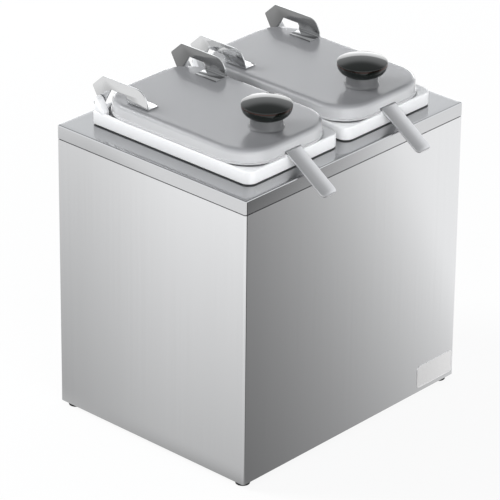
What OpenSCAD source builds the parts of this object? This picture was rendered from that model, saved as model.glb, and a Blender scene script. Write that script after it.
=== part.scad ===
// Hot fudge topping warmer: a heated water well with two lift-out jars, hinged lids and ladles.
// Front is -Y, up is +Z, and the feet stand on Z = 0. All lengths are in millimetres.

/* [Cabinet] */
// width over the cover
cabinet_width = 250; // [230:1:300]
// depth over the cover
cabinet_depth = 198.6; // [190:0.2:260]
// height of the sheet metal, from the shell's lower edge to the top of the cover
cabinet_height = 241.4; // [225:0.2:300]
// thickness of the cabinet's sheet
sheet = 1; // [0.8:0.1:1.4]
// outer radius of the shell's upright bends
bend_radius = 2; // [1.6:0.1:4]
// depth of the cover's turned down skirt
skirt_depth = 11.5; // [9:0.5:16]
// seam left open between the skirt and the shell below it
seam_gap = 0.5; // [0.3:0.1:1]
// clearance between the skirt and the shell's lap inside it
lap_gap = 0.2; // [0.1:0.1:0.5]
// width of the shell's turned in bottom flange
bottom_flange = 17; // [15:1:22]

/* [Feet] */
// height of a foot below the shell
foot_height = 4; // [3:0.5:10]
// radius of a foot where it touches the shell
foot_radius = 6.5; // [5:0.5:8]
// distance of a foot's axis from the shell's sides
foot_inset = 8.5; // [8:0.5:12]

/* [Jars] */
// gap between the two jars' rim bands
jar_gap = 7; // [6:0.5:9]
// distance from the cabinet's sides to the jars' rim bands
jar_side_margin = 19.5; // [18.5:0.5:22]
// distance from the cabinet's front to the jars' rim bands
jar_front_margin = 14.8; // [12:0.1:20]
// distance from the jars' rim bands to the cabinet's rear
jar_rear_margin = 18.3; // [17.5:0.1:24]
// water space between the jars and the well's floor
water_under_jars = 21; // [16:1:40]
// wall thickness of a jar
jar_wall = 2.5; // [2:0.1:3]
// height of the rim band
rim_height = 11; // [9:0.5:14]
// step from the rim band in to the jar's body
rim_step = 4; // [3.6:0.1:5]
// radius of the rim band's front corners
rim_corner = 8; // [7:0.5:12]
// radius of the rim band's rear corners
rim_rear_corner = 4; // [3:0.5:7]
// radius of the mouth's corners, which the rim's top closes in to
mouth_corner = 26; // [20:0.5:28]
// thickness of the rim's top at the mouth's corners
mouth_sheet = 2; // [1.5:0.1:3]
// rise of the cover's collar, on which the rim band's shoulder rests
collar_rise = 0.9; // [0.6:0.1:2]
// height of the pad that the ladle hangs over
ladle_pad_height = 1.3; // [0.8:0.1:2]

/* [Lids] */
// height of a lid from its lower edge to its flat top
lid_height = 12.2; // [10:0.1:16]
// wall thickness of a lid
lid_wall = 2.2; // [1.8:0.1:2.8]
// corner radius of a lid
lid_corner = 30; // [24:1:34]
// distance of the lid's sides and front from the rim band's outside
lid_inset = 1; // [1:0.1:3]
// distance of the lid's rear wall from the rim band's rear
lid_rear_inset = 4; // [4:0.1:6]
// size of the rounded shoulder round the lid's top
shoulder = 4; // [2:0.5:5]
// how far the lower bead stands out from the lid's wall
bead = 0.8; // [0.4:0.1:1]
// height of the lower bead
bead_height = 1.6; // [1:0.2:3]
// clearance on both sides of the ladle in the lid's front notch
notch_clearance = 1; // [0.6:0.1:2]
// clearance over the ladle in the lid's front notch
notch_headroom = 0.5; // [0.4:0.1:2]

/* [Lid hinges] */
// height of the hinge axis above the rim band
hinge_height = 7.2; // [7:0.1:9]
// distance of the hinge axis from the rim band's rear
hinge_from_rear = 4.4; // [4:0.1:6]
// radius of a hinge pin
pin_radius = 1.6; // [1.2:0.1:2]
// running clearance of a hinge pin in the jar's ear
pin_clearance = 0.05; // [0.02:0.01:0.1]
// thickness of the ear that a pin turns in
ear_thickness = 6.4; // [5:0.1:9]
// length of an ear along the jar's side, at its foot
ear_length = 13.5; // [11:0.5:15]
// thickness of a hinge clip's sheet
clip_sheet = 1.2; // [1:0.1:1.5]
// clearance between a clip and the ear beside it
clip_gap = 0.5; // [0.3:0.1:0.8]
// height of a clip above the lid
clip_height = 15.1; // [12:0.1:18]
// distance from a clip's front edge back to the hinge axis
clip_reach = 49.1; // [46:0.1:56]
// length of a clip's foot along the lid
foot_length = 21.8; // [18:0.1:26]
// width of a clip's foot, across to the lid's middle
foot_width = 11; // [9:0.5:14]
// height of the notch that opens under a clip's rear part
clip_notch_height = 6.5; // [5:0.1:8]
// radius of the round front corner of a clip
clip_front_radius = 12.4; // [9:0.1:14]
// how far the clip's rear corner stands behind the hinge axis
clip_overhang = 9.4; // [7:0.1:10]
// radius of a clip's round tail at the hinge pin
tail_radius = 3.3; // [3:0.1:3.6]

/* [Lid knobs] */
// distance of a knob's axis from the lid's front
knob_from_front = 28.5; // [26:0.5:34]
// height of the moulded boss under a knob
boss_height = 8.5; // [6:0.1:11]
// radius of the boss at its top
boss_radius = 12.6; // [10:0.1:13]
// radius of the cove that flares the boss out to the lid
boss_cove = 3.4; // [2:0.1:5]
// greatest radius of a knob
knob_radius = 19.8; // [17:0.1:23]
// radius of the knob's rounded flank
flank_radius = 8.8; // [8.7:0.1:12]
// height of a knob from its base to the coloured ring
knob_ring_height = 8.6; // [7:0.1:8.6]
// height of the coloured ring let into a knob
ring_width = 0.6; // [0.4:0.1:1]
// height of the knob's upright lip above the ring
knob_lip = 1.2; // [0.6:0.1:2]
// height of a knob's dome above its lip
dome_height = 3.4; // [2:0.1:7]

/* [Ladles] */
// width of a ladle's strip handle
ladle_width = 16; // [12:0.5:19]
// thickness of a ladle's strip handle
ladle_sheet = 1.5; // [1.2:0.1:2]
// length of the handle's outer end, beyond its fold
tail_length = 44.4; // [30:0.2:55]
// slope of the handle's outer end below level, in degrees
tail_slope = 33.7; // [28:0.1:40]
// lean of the handle inside the jar, in degrees from upright
shank_lean = 20; // [20:0.5:26]
// sideways place of a ladle from its jar's middle
ladle_offset = -2; // [-8:0.5:8]
// radius of a ladle's bowl
bowl_radius = 20; // [16:0.5:22]
// wall thickness of a ladle's bowl
bowl_wall = 1; // [0.8:0.1:1.4]
// height of a ladle's bowl above the jar's floor
bowl_floor_gap = 27.5; // [20:0.5:40]

/* [Water well] */
// space under the well's floor, down to the shell's lower edge
space_under_well = 80.4; // [78:0.2:86]
// thickness of the well's sheet
well_sheet = 1; // [0.8:0.1:1.2]
// clear space between the jars' bodies and the well's walls
well_margin = 6.5; // [5:0.5:7]
// thickness of the insulation round the well
insulation = 8; // [6:0.5:8.4]

/* [Heating and controls] */
// radius of the heating element's tube
element_radius = 3.2; // [2.8:0.1:4]
// distance between the element's legs
element_pitch = 35; // [32:1:38]
// length of the element's straight legs
element_leg = 150; // [120:1:160]
// height of the controls' centres above the shell's lower edge
control_height = 29.4; // [27:0.1:34]
// distance of the thermostat and the inlet from the cabinet's middle
control_offset = 62; // [50:1:75]
// radius of the thermostat's knob
dial_knob_radius = 17; // [14:0.5:20]
// length of the thermostat's knob
dial_knob_length = 15; // [12:0.5:20]

/* [Hidden] */
$fn = 48;
hull_fn = 32;
hair = 0.05;
running_gap = 0.3;

// colours, as the object shows them
steel = [0.78, 0.79, 0.80];
bright_steel = [0.85, 0.86, 0.87];
white_plastic = [0.93, 0.94, 0.95];
smoke = [0.62, 0.63, 0.65, 0.8];
black = [0.06, 0.06, 0.06];
copper = [0.72, 0.45, 0.33];
wool = [0.85, 0.82, 0.70];
brass = [0.80, 0.68, 0.40];
ceramic = [0.90, 0.88, 0.84];

// sizes of the jars and the well, which follow the cabinet's
jar_width = (cabinet_width - 2 * jar_side_margin - jar_gap) / 2;
jar_pitch = jar_width + jar_gap;
jar_length = cabinet_depth - jar_front_margin - jar_rear_margin;
well_depth = cabinet_height - space_under_well;
jar_depth = well_depth - water_under_jars;
bowl_rim_depth = jar_depth - jar_wall - bowl_floor_gap - bowl_radius;

// heights that the pieces share
shell_z = foot_height;
top_z = shell_z + cabinet_height;
under_cover_z = top_z - sheet;
rim_z = top_z + collar_rise + hair;
rim_top_z = rim_z + rim_height;
lid_gap = 0.35;
lid_z = rim_top_z + lid_gap;
lid_top_z = lid_z + lid_height;
hinge_z = rim_top_z + hinge_height;
jar_bottom_z = top_z - jar_depth;
well_floor_z = top_z - well_depth;
control_z = shell_z + control_height;

// places along Y that the pieces share
front_y = -cabinet_depth / 2;
rear_y = cabinet_depth / 2;
rim_front_y = front_y + jar_front_margin;
rim_rear_y = rim_front_y + jar_length;
jar_y = (rim_front_y + rim_rear_y) / 2;
lid_front_y = rim_front_y + lid_inset;
lid_rear_y = rim_rear_y - lid_rear_inset;
hinge_y = rim_rear_y - hinge_from_rear;
knob_y = lid_front_y + knob_from_front;

// sizes of the jars, lids and hinges
body_width = jar_width - 2 * rim_step;
body_length = jar_length - 2 * rim_step;
body_corner = rim_corner + 1;
lid_width = jar_width - 2 * lid_inset;
lid_length = lid_rear_y - lid_front_y;
ear_inner_x = jar_width / 2 - ear_thickness;
clip_outer_x = ear_inner_x - clip_gap;
clip_inner_x = clip_outer_x - clip_sheet;
clip_front_y = hinge_y - clip_reach;
stud_radius = 1.2;
stud_head = 0.3;
knob_z = lid_top_z + boss_height;

// sizes of the well and what surrounds it
well_width = jar_pitch + body_width + 2 * well_margin;
well_length = body_length + 2 * well_margin;
well_corner = body_corner + well_margin;
well_flange = 7;
wool_gap = 0.8;
wool_width = well_width + 2 * (well_sheet + wool_gap);
wool_length = well_length + 2 * (well_sheet + wool_gap);
element_z = well_floor_z - well_sheet - element_radius - hair;
bar_sheet = 1.5;
bar_z = element_z - element_radius - hair - bar_sheet;
nut_height = 3;
stud_end = 1.5;
wool_base_top_z = bar_z - nut_height - stud_end - 1;
wool_base_sheet = 8;
lap_z = top_z - skirt_depth - seam_gap;

// handle geometry: the fold runs over the jar's front rim
fold_clearance = 0.3;
fold_y = rim_front_y + jar_wall / 2;
fold_drop = 2;
pad_z = rim_top_z + ladle_pad_height;
fold_z = pad_z - fold_drop;
fold_inner = jar_wall / 2 * sin(tail_slope) + fold_drop * cos(tail_slope) + fold_clearance;
fold_middle = fold_inner + ladle_sheet / 2;
fold_outer = fold_inner + ladle_sheet;
shank_top_y = fold_y + fold_middle * cos(shank_lean);
shank_top_z = fold_z + fold_middle * sin(shank_lean);
bowl_z = top_z - bowl_rim_depth;
shank_length = (shank_top_z - bowl_z) / cos(shank_lean) + bowl_radius * 0.75;

// the object's frame has its origin in the middle of its ground outline
tail_tip_y = fold_y - fold_outer * sin(tail_slope) - tail_length * cos(tail_slope);
dial_stand_off = 0.8;
knob_face_y = rear_y + dial_stand_off + dial_knob_length;
frame_y = -(tail_tip_y + knob_face_y) / 2;

// puts its children into the object's frame
module framed() {
    translate([0, frame_y, 0])
        children();
}

// a rectangle with round corners, centred
module round_plan(width, length, radius) {
    union() {
        square([width - 2 * radius, length], center = true);
        square([width, length - 2 * radius], center = true);
        for (x = [-1, 1], y = [-1, 1])
            translate([x * (width / 2 - radius), y * (length / 2 - radius)])
                circle(r = radius);
    }
}

// a ring between two rectangles with round corners
module round_ring(width, length, radius, wall) {
    difference() {
        round_plan(width, length, radius);
        round_plan(width - 2 * wall, length - 2 * wall, max(radius - wall, 0.3));
    }
}

// a flat outline in Y and Z, given a thickness along X from x
module side_plate(x, thickness) {
    translate([x, 0, 0])
        rotate([90, 0, 90])
            linear_extrude(thickness)
                children();
}

// puts its children at both jar places, the left one mirrored so that outer sides match
module at_jar(side) {
    translate([side * jar_pitch / 2, jar_y, 0])
        children();
}

// a straight lead between two points
module run(from, to, radius) {
    step = to - from;
    length = norm(step);
    translate(from)
        rotate([0, acos(step[2] / length), atan2(step[1], step[0])])
            cylinder(h = length, r = radius);
}

// leads that follow a list of points, with a bead at each turn
module lead(points, radius) {
    union() {
        for (i = [0 : len(points) - 2])
            run(points[i], points[i + 1], radius, $fn = 16);
        for (i = [1 : len(points) - 2])
            translate(points[i])
                sphere(r = radius * 1.12, $fn = 16);
    }
}

// Cabinet

module outer_shell() {
    lap_inset = sheet + lap_gap;
    color(steel)
        difference() {
            union() {
                translate([0, 0, shell_z])
                    linear_extrude(lap_z - shell_z)
                        round_ring(cabinet_width, cabinet_depth, bend_radius, sheet);
                translate([0, 0, lap_z - sheet])
                    linear_extrude(sheet)
                        round_ring(cabinet_width, cabinet_depth, bend_radius, lap_inset + sheet);
                translate([0, 0, lap_z - sheet])
                    linear_extrude(under_cover_z - hair - lap_z + sheet)
                        round_ring(cabinet_width - 2 * lap_inset, cabinet_depth - 2 * lap_inset,
                            bend_radius, sheet);
                translate([0, 0, shell_z])
                    linear_extrude(sheet)
                        round_ring(cabinet_width, cabinet_depth, bend_radius, bottom_flange);
            }
            rear_wall_holes();
            cover_screw_places()
                translate([0, 0, -4 * sheet])
                    cylinder(h = 5 * sheet, r = small_screw_radius + hair);
            foot_places(shell_z - 1)
                cylinder(h = sheet + 2, r = base_screw_radius + hair);
        }
}

module rear_wall_holes() {
    translate([-control_offset, rear_y - 3 * sheet, control_z])
        rotate([-90, 0, 0])
            linear_extrude(5 * sheet)
                round_plan(inlet_body_width + 2 * hair, inlet_body_height + 2 * hair, inlet_corner);
    translate([control_offset, rear_y - 3 * sheet, control_z])
        rotate([-90, 0, 0])
            cylinder(h = 5 * sheet, r = bushing_radius + hair);
    for (side = [-1, 1])
        translate([-control_offset + side * inlet_screw_pitch / 2, rear_y - 3 * sheet, control_z])
            rotate([-90, 0, 0])
                cylinder(h = 5 * sheet, r = small_screw_radius + hair);
}

module top_cover() {
    color(bright_steel)
        difference() {
            union() {
                translate([0, 0, under_cover_z])
                    linear_extrude(sheet)
                        round_plan(cabinet_width, cabinet_depth, bend_radius);
                translate([0, 0, top_z - skirt_depth])
                    linear_extrude(skirt_depth)
                        round_ring(cabinet_width, cabinet_depth, bend_radius, sheet);
                for (side = [-1, 1])
                    at_jar(side)
                        translate([0, 0, under_cover_z])
                            linear_extrude(sheet + collar_rise)
                                round_plan(body_width + 2 * (opening_gap + sheet),
                                    body_length + 2 * (opening_gap + sheet),
                                    body_corner + opening_gap + sheet);
            }
            for (side = [-1, 1])
                at_jar(side)
                    translate([0, 0, under_cover_z - 1])
                        linear_extrude(sheet + collar_rise + 2)
                            round_plan(body_width + 2 * opening_gap, body_length + 2 * opening_gap,
                                body_corner + opening_gap);
            cover_screw_places()
                translate([0, 0, -2 * sheet])
                    cylinder(h = 3 * sheet, r = small_screw_radius + hair);
        }
}
opening_gap = 0.7;

small_screw_radius = 1.5;
small_head_radius = 2.8;
small_head = 1.6;
cover_screw_spread = 170;
module cover_screw_places() {
    for (side = [-1, 1])
        translate([side * cover_screw_spread / 2, rear_y, top_z - skirt_depth / 2])
            rotate([-90, 0, 0])
                children();
}

module cover_screws() {
    color(bright_steel)
        cover_screw_places()
            pan_screw(small_screw_radius, 2 * sheet + lap_gap + 2);
}

// a pan-head screw that grips the sheets below z = 0 and whose head stands above them
module pan_screw(radius, grip) {
    rotate_extrude()
        union() {
            translate([0, -grip])
                square([radius, grip + hair]);
            translate([0, hair])
                square([small_head_radius, small_head * 0.55]);
            translate([0, hair])
                square([small_head_radius * 0.72, small_head]);
        }
}

module base_plate() {
    inset = sheet + 0.4;
    color(steel)
        difference() {
            translate([0, 0, shell_z + sheet + hair])
                linear_extrude(sheet)
                    round_plan(cabinet_width - 2 * inset, cabinet_depth - 2 * inset, bend_radius);
            foot_places(shell_z)
                cylinder(h = 4 * sheet, r = base_screw_radius + hair);
            for (i = [0 : vent_count - 1])
                translate([(i - (vent_count - 1) / 2) * vent_pitch, vent_y, shell_z])
                    linear_extrude(4 * sheet)
                        round_plan(vent_width, vent_length, vent_width / 2 - hair);
        }
}
vent_width = 4;
vent_length = 36;
vent_count = 7;
vent_pitch = 12;
vent_y = -35;

base_screw_radius = 1.9;
base_head_radius = 3.4;
base_head = 1.8;
module foot_places(z) {
    for (x = [-1, 1], y = [-1, 1])
        translate([x * (cabinet_width / 2 - foot_inset), y * (cabinet_depth / 2 - foot_inset), z])
            children();
}

module base_screws() {
    color(bright_steel)
        foot_places(0)
            union() {
                translate([0, 0, base_head_z])
                    cylinder(h = base_head, r = base_head_radius);
                translate([0, 0, base_head_z + base_head - hair])
                    cylinder(h = shell_z + 2 * sheet + 4 * hair - base_head_z - base_head + 1.2,
                        r = base_screw_radius);
            }
}
base_head_z = 0.8;

module rubber_feet() {
    color(black)
        foot_places(0)
            difference() {
                cylinder(h = foot_height - hair, r1 = foot_radius - 0.8, r2 = foot_radius);
                translate([0, 0, -1])
                    cylinder(h = base_head_z + base_head + 1 + hair, r = base_head_radius + 0.3);
                translate([0, 0, -1])
                    cylinder(h = foot_height + 2, r = base_screw_radius + hair);
            }
}

// Well, insulation and heating

module water_well() {
    flange_width = well_width + 2 * (well_sheet + well_flange);
    flange_length = well_length + 2 * (well_sheet + well_flange);
    color(bright_steel)
        translate([0, jar_y, 0])
            difference() {
                union() {
                    translate([0, 0, under_cover_z - hair - well_sheet])
                        linear_extrude(well_sheet)
                            round_plan(flange_width, flange_length, well_corner);
                    translate([0, 0, well_floor_z - well_sheet])
                        linear_extrude(under_cover_z - hair - well_floor_z + well_sheet)
                            round_plan(well_width + 2 * well_sheet, well_length + 2 * well_sheet,
                                well_corner + well_sheet);
                }
                translate([0, 0, well_floor_z])
                    linear_extrude(well_depth)
                        round_plan(well_width, well_length, well_corner);
            }
}

module insulation_wall() {
    top = lap_z - 2 * sheet;
    color(wool)
        translate([0, jar_y, wool_base_top_z + hair])
            linear_extrude(top - wool_base_top_z - hair)
                round_ring(wool_width + 2 * insulation, wool_length + 2 * insulation,
                    well_corner + insulation, insulation);
}

module insulation_base() {
    color(wool)
        translate([0, 0, wool_base_top_z - wool_base_sheet])
            difference() {
                linear_extrude(wool_base_sheet)
                    round_plan(cabinet_width - 2 * sheet - 2 * hair,
                        cabinet_depth - 2 * sheet - 2 * hair, bend_radius);
                for (row = [-1.5, 1.5])
                    translate([element_end_x, jar_y + row * element_pitch, -1])
                        cylinder(h = wool_base_sheet + 2, r = element_radius + 0.6);
                translate([limit_x, jar_y, -1])
                    cylinder(h = wool_base_sheet + 2, r = limit_radius);
                translate([capillary_x, jar_y, -1])
                    cylinder(h = wool_base_sheet + 2, r = 3);
            }
}

// the element: four legs joined by three half turns, with both ends turned down
end_bend = 8;
element_end_x = element_leg / 2 + end_bend;
element_drop = element_z - (wool_base_top_z - wool_base_sheet) - end_bend + 6;
module heating_element() {
    color([0.45, 0.42, 0.38])
        translate([0, jar_y, element_z])
            union() {
                for (row = [-1.5 : 1 : 1.5])
                    translate([-element_leg / 2, row * element_pitch, 0])
                        rotate([0, 90, 0])
                            cylinder(h = element_leg, r = element_radius);
                for (row = [-1, 1])
                    translate([-element_leg / 2, row * element_pitch, 0])
                        rotate([0, 0, 90])
                            half_turn();
                translate([element_leg / 2, 0, 0])
                    rotate([0, 0, -90])
                        half_turn();
                for (row = [-1.5, 1.5])
                    translate([element_leg / 2, row * element_pitch, -end_bend])
                        rotate([90, 0, 0])
                            rotate_extrude(angle = 90)
                                translate([end_bend, 0])
                                    circle(r = element_radius);
                for (row = [-1.5, 1.5])
                    translate([element_end_x, row * element_pitch, -end_bend - element_drop])
                        cylinder(h = element_drop, r = element_radius);
            }
}

module half_turn() {
    rotate_extrude(angle = 180)
        translate([element_pitch / 2, 0])
            circle(r = element_radius);
}

bar_width = 12;
bar_spread = 55;
well_stud_radius = 2;
bar_length = 3 * element_pitch + 24;
module stud_places(z) {
    for (x = [-1, 0, 1], y = [-1, 1])
        translate([x * bar_spread, jar_y + y * element_pitch, z])
            children();
}

module well_studs() {
    color(steel)
        stud_places(bar_z - nut_height - stud_end)
            cylinder(h = well_floor_z - well_sheet - hair - bar_z + nut_height + stud_end,
                r = well_stud_radius);
}

module clamp_bars() {
    color(steel)
        difference() {
            for (x = [-1, 0, 1])
                translate([x * bar_spread - bar_width / 2, jar_y - bar_length / 2, bar_z])
                    cube([bar_width, bar_length, bar_sheet]);
            stud_places(bar_z - 1)
                cylinder(h = bar_sheet + 2, r = well_stud_radius + hair);
        }
}

module clamp_nuts() {
    color(bright_steel)
        stud_places(bar_z - nut_height - hair)
            difference() {
                cylinder(h = nut_height, r = 4, $fn = 6);
                translate([0, 0, -1])
                    cylinder(h = nut_height + 2, r = well_stud_radius + hair);
            }
}

limit_radius = 7.5;
limit_height = 5.5;
limit_x = bar_spread / 2;
tab_length = 5;
tab_spread = 6;
module high_limit() {
    color(ceramic)
        translate([limit_x, jar_y, well_floor_z - well_sheet - hair - limit_height])
            union() {
                cylinder(h = limit_height, r = limit_radius);
                for (end = [-1, 1])
                    translate([end * tab_spread / 2 - 0.4, -2.2, -tab_length])
                        cube([0.8, 4.4, tab_length + 1]);
            }
}

// Controls in the bay under the well

bushing_radius = 5;
bushing_length = 5;
shaft_radius = 3;
shaft_clearance = 0.05;
stat_width = 36;
stat_height = 26;
stat_depth = 22;
stat_wall = 1.5;
module thermostat_body() {
    color(steel)
        translate([control_offset, 0, control_z])
            difference() {
                union() {
                    translate([-stat_width / 2, rear_y - sheet - hair - stat_depth, -stat_height / 2])
                        cube([stat_width, stat_depth, stat_height]);
                    translate([0, rear_y - sheet - 1, 0])
                        rotate([-90, 0, 0])
                            cylinder(h = bushing_length, r = bushing_radius);
                }
                translate([0, rear_y - sheet - stat_depth + stat_wall, 0])
                    rotate([-90, 0, 0])
                        cylinder(h = stat_depth + bushing_length, r = shaft_radius + shaft_clearance);
            }
}

bushing_nut = 2;
module thermostat_nut() {
    color(bright_steel)
        translate([control_offset, rear_y + hair, control_z])
            rotate([-90, 0, 0])
                difference() {
                    cylinder(h = bushing_nut, r = 7.4, $fn = 6);
                    translate([0, 0, -1])
                        cylinder(h = bushing_nut + 2, r = bushing_radius + hair);
                }
}

knob_socket_depth = 10;
module thermostat_shaft() {
    start_y = rear_y - sheet - stat_depth + stat_wall + 0.5;
    end_y = knob_face_y - dial_knob_length + dial_recess + knob_socket_depth;
    color(brass)
        translate([control_offset, start_y, control_z])
            rotate([-90, 0, 0])
                cylinder(h = end_y - start_y - hair, r = shaft_radius);
}

dial_recess = 3;
module thermostat_knob() {
    skirt_y = knob_face_y - dial_knob_length;
    pointer = 3;
    color(black)
        translate([control_offset, skirt_y, control_z])
            rotate([-90, 0, 0])
                difference() {
                    union() {
                        cylinder(h = 4, r = dial_knob_radius);
                        cylinder(h = dial_knob_length, r1 = dial_knob_radius - 3,
                            r2 = dial_knob_radius - 4.5);
                        translate([-pointer / 2, -dial_knob_radius + 1, 1])
                            cube([pointer, dial_knob_radius - 1, dial_knob_length - 2]);
                    }
                    translate([0, 0, -1])
                        cylinder(h = dial_recess + 1, r = 9);
                    translate([0, 0, -1])
                        cylinder(h = dial_recess + knob_socket_depth + 1, r = shaft_radius + hair);
                }
}

bulb_length = 60;
capillary_x = -element_leg / 2 - 11;
tube_radius = 1;
module sensing_bulb() {
    drop_z = wool_base_top_z - wool_base_sheet - 6;
    body_face_y = rear_y - sheet - hair - stat_depth;
    color(copper)
        union() {
            translate([-element_leg / 2, jar_y, element_z])
                rotate([0, 90, 0])
                    cylinder(h = bulb_length, r = element_radius);
            lead([
                [-element_leg / 2 + 1, jar_y, element_z],
                [capillary_x, jar_y, element_z],
                [capillary_x, jar_y, drop_z],
                [control_offset - 8, jar_y + 30, drop_z],
                [control_offset - 8, body_face_y - 10, control_z + 6],
                [control_offset - 8, body_face_y - hair, control_z + 6]
            ], tube_radius);
        }
}

inlet_flange_width = 50;
inlet_flange_height = 24;
inlet_flange = 2.6;
inlet_body_width = 27.4;
inlet_body_height = 20;
inlet_corner = 3;
inlet_screw_pitch = 40;
inlet_depth = 18;
socket_width = 24;
socket_height = 16.6;
socket_depth = 16;
module power_inlet() {
    color(black)
        translate([-control_offset, rear_y + hair, control_z])
            rotate([-90, 0, 0])
                difference() {
                    union() {
                        linear_extrude(inlet_flange)
                            round_plan(inlet_flange_width, inlet_flange_height, 4);
                        translate([0, 0, -inlet_depth])
                            linear_extrude(inlet_depth + 1)
                                round_plan(inlet_body_width, inlet_body_height, inlet_corner);
                    }
                    translate([0, 0, inlet_flange - socket_depth])
                        linear_extrude(socket_depth + 1)
                            round_plan(socket_width, socket_height, 2.4);
                    for (side = [-1, 1])
                        translate([side * inlet_screw_pitch / 2, 0, -1])
                            cylinder(h = inlet_flange + 2, r = small_screw_radius + hair);
                    blade_places(-inlet_depth - 1)
                        translate([-blade_sheet / 2 - hair, -blade_width / 2 - hair, 0])
                            cube([blade_sheet + 2 * hair, blade_width + 2 * hair, inlet_depth]);
                }
}

blade_width = 4;
blade_sheet = 2;
blade_recess = 6;
module blade_places(z) {
    for (place = [[-7, 2], [7, 2], [0, -2]])
        translate([place[0], place[1], z])
            children();
}

module inlet_blades() {
    tail = 6;
    color(brass)
        translate([-control_offset, rear_y + hair, control_z])
            rotate([-90, 0, 0])
                blade_places(-inlet_depth - tail)
                    translate([-blade_sheet / 2, -blade_width / 2, 0])
                        cube([blade_sheet, blade_width, inlet_depth + tail + inlet_flange - blade_recess]);
}

module inlet_screws() {
    color(bright_steel)
        for (side = [-1, 1])
            translate([-control_offset + side * inlet_screw_pitch / 2, rear_y + hair + inlet_flange,
                control_z])
                rotate([-90, 0, 0])
                    pan_screw(small_screw_radius, inlet_flange + hair + sheet + 2);
}

block_length = 44;
block_depth = 16;
block_height = 12;
block_y = 20;
module terminal_block() {
    color(ceramic)
        translate([-block_length / 2, block_y, shell_z + 2 * sheet + 2 * hair])
            difference() {
                cube([block_length, block_depth, block_height]);
                for (i = [0 : 3])
                    translate([block_length * (i + 0.5) / 4, block_depth / 2, 3])
                        cylinder(h = block_height, r = 3);
            }
}

wire_radius = 1.3;
module wiring() {
    block_top_z = shell_z + 2 * sheet + block_height / 2;
    end_z = element_z - end_bend - element_drop;
    inlet_y = rear_y + hair - inlet_depth - 6;
    tab_z = well_floor_z - well_sheet - hair - limit_height - tab_length;
    color([0.75, 0.12, 0.10])
        union() {
            lead([
                [-control_offset + 7, inlet_y - hair, control_z - 2],
                [-control_offset + 7, inlet_y - 22, control_z - 2],
                [-block_length / 2 + 5.5, block_y + block_depth + 8, block_top_z],
                [-block_length / 2 + 5.5, block_y + block_depth + hair, block_top_z]
            ], wire_radius);
            lead([
                [control_offset, rear_y - sheet - stat_depth - 2 * hair, control_z - 4],
                [control_offset, rear_y - sheet - stat_depth - 14, control_z - 4],
                [block_length / 2 - 5.5, block_y + block_depth + 8, block_top_z],
                [block_length / 2 - 5.5, block_y + block_depth + hair, block_top_z]
            ], wire_radius);
            for (row = [-1.5, 1.5])
                lead([
                    [element_end_x, jar_y + row * element_pitch, end_z - hair],
                    [element_end_x, jar_y + row * element_pitch, end_z - 6],
                    [row * 8, block_y - 10, block_top_z],
                    [row * 8, block_y - hair, block_top_z]
                ], wire_radius);
            for (end = [-1, 1])
                lead([
                    [limit_x + end * tab_spread / 2, jar_y, tab_z - hair],
                    [limit_x + end * tab_spread / 2, jar_y, tab_z - 20],
                    [end * 4, block_y - 10, block_top_z],
                    [end * 4, block_y - hair, block_top_z]
                ], wire_radius);
        }
}

// Jars

module jar(side) {
    color(white_plastic)
        difference() {
            union() {
                at_jar(side)
                    jar_tub();
                intersection() {
                    translate([side * jar_pitch / 2, 0, 0])
                        union() {
                            ear(-1);
                            ear(1);
                        }
                    at_jar(side)
                        translate([0, 0, rim_z + 1])
                            linear_extrude(rim_height + 2 * hinge_height)
                                rim_plan(0);
                }
                translate([side * jar_pitch / 2 + ladle_offset - ladle_width / 2, rim_front_y,
                    rim_top_z - 1])
                    cube([ladle_width, jar_wall, ladle_pad_height + 1]);
            }
            translate([side * jar_pitch / 2, hinge_y, hinge_z])
                rotate([0, 90, 0])
                    translate([0, 0, -jar_width])
                        cylinder(h = 2 * jar_width, r = pin_radius + pin_clearance);
        }
}

// the tub: a rim band that steps in to the body that hangs in the well
module jar_tub() {
    difference() {
        union() {
            translate([0, 0, rim_z])
                linear_extrude(rim_height)
                    rim_plan(0);
            translate([0, 0, jar_bottom_z])
                linear_extrude(rim_z - jar_bottom_z + 1)
                    round_plan(body_width, body_length, body_corner);
        }
        translate([0, 0, rim_z + jar_wall])
            linear_extrude(rim_height - jar_wall - mouth_sheet)
                rim_plan(jar_wall);
        translate([0, 0, rim_z + jar_wall])
            linear_extrude(rim_height)
                round_plan(jar_width - 2 * jar_wall, jar_length - 2 * jar_wall, mouth_corner);
        translate([0, 0, jar_bottom_z + jar_wall])
            linear_extrude(jar_depth + rim_height)
                round_plan(body_width - 2 * jar_wall, body_length - 2 * jar_wall,
                    body_corner - jar_wall);
    }
}

// the rim band's outline, drawn in by an inset, with its rear corners squarer
module rim_plan(inset) {
    width = jar_width - 2 * inset;
    length = jar_length - 2 * inset;
    union() {
        round_plan(width, length, rim_corner - inset);
        translate([0, length / 4])
            round_plan(width, length / 2, rim_rear_corner - inset);
    }
}

// an ear at a rear corner of the rim, round over the hinge pin
module ear(end) {
    start = end > 0 ? ear_inner_x : -jar_width / 2;
    side_plate(start, ear_thickness)
        hull() {
            translate([hinge_y, hinge_z])
                circle(r = hinge_from_rear, $fn = hull_fn);
            translate([rim_rear_y - ear_length, rim_top_z - 1])
                square([ear_length, 1.5]);
        }
}

// Lids

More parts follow.
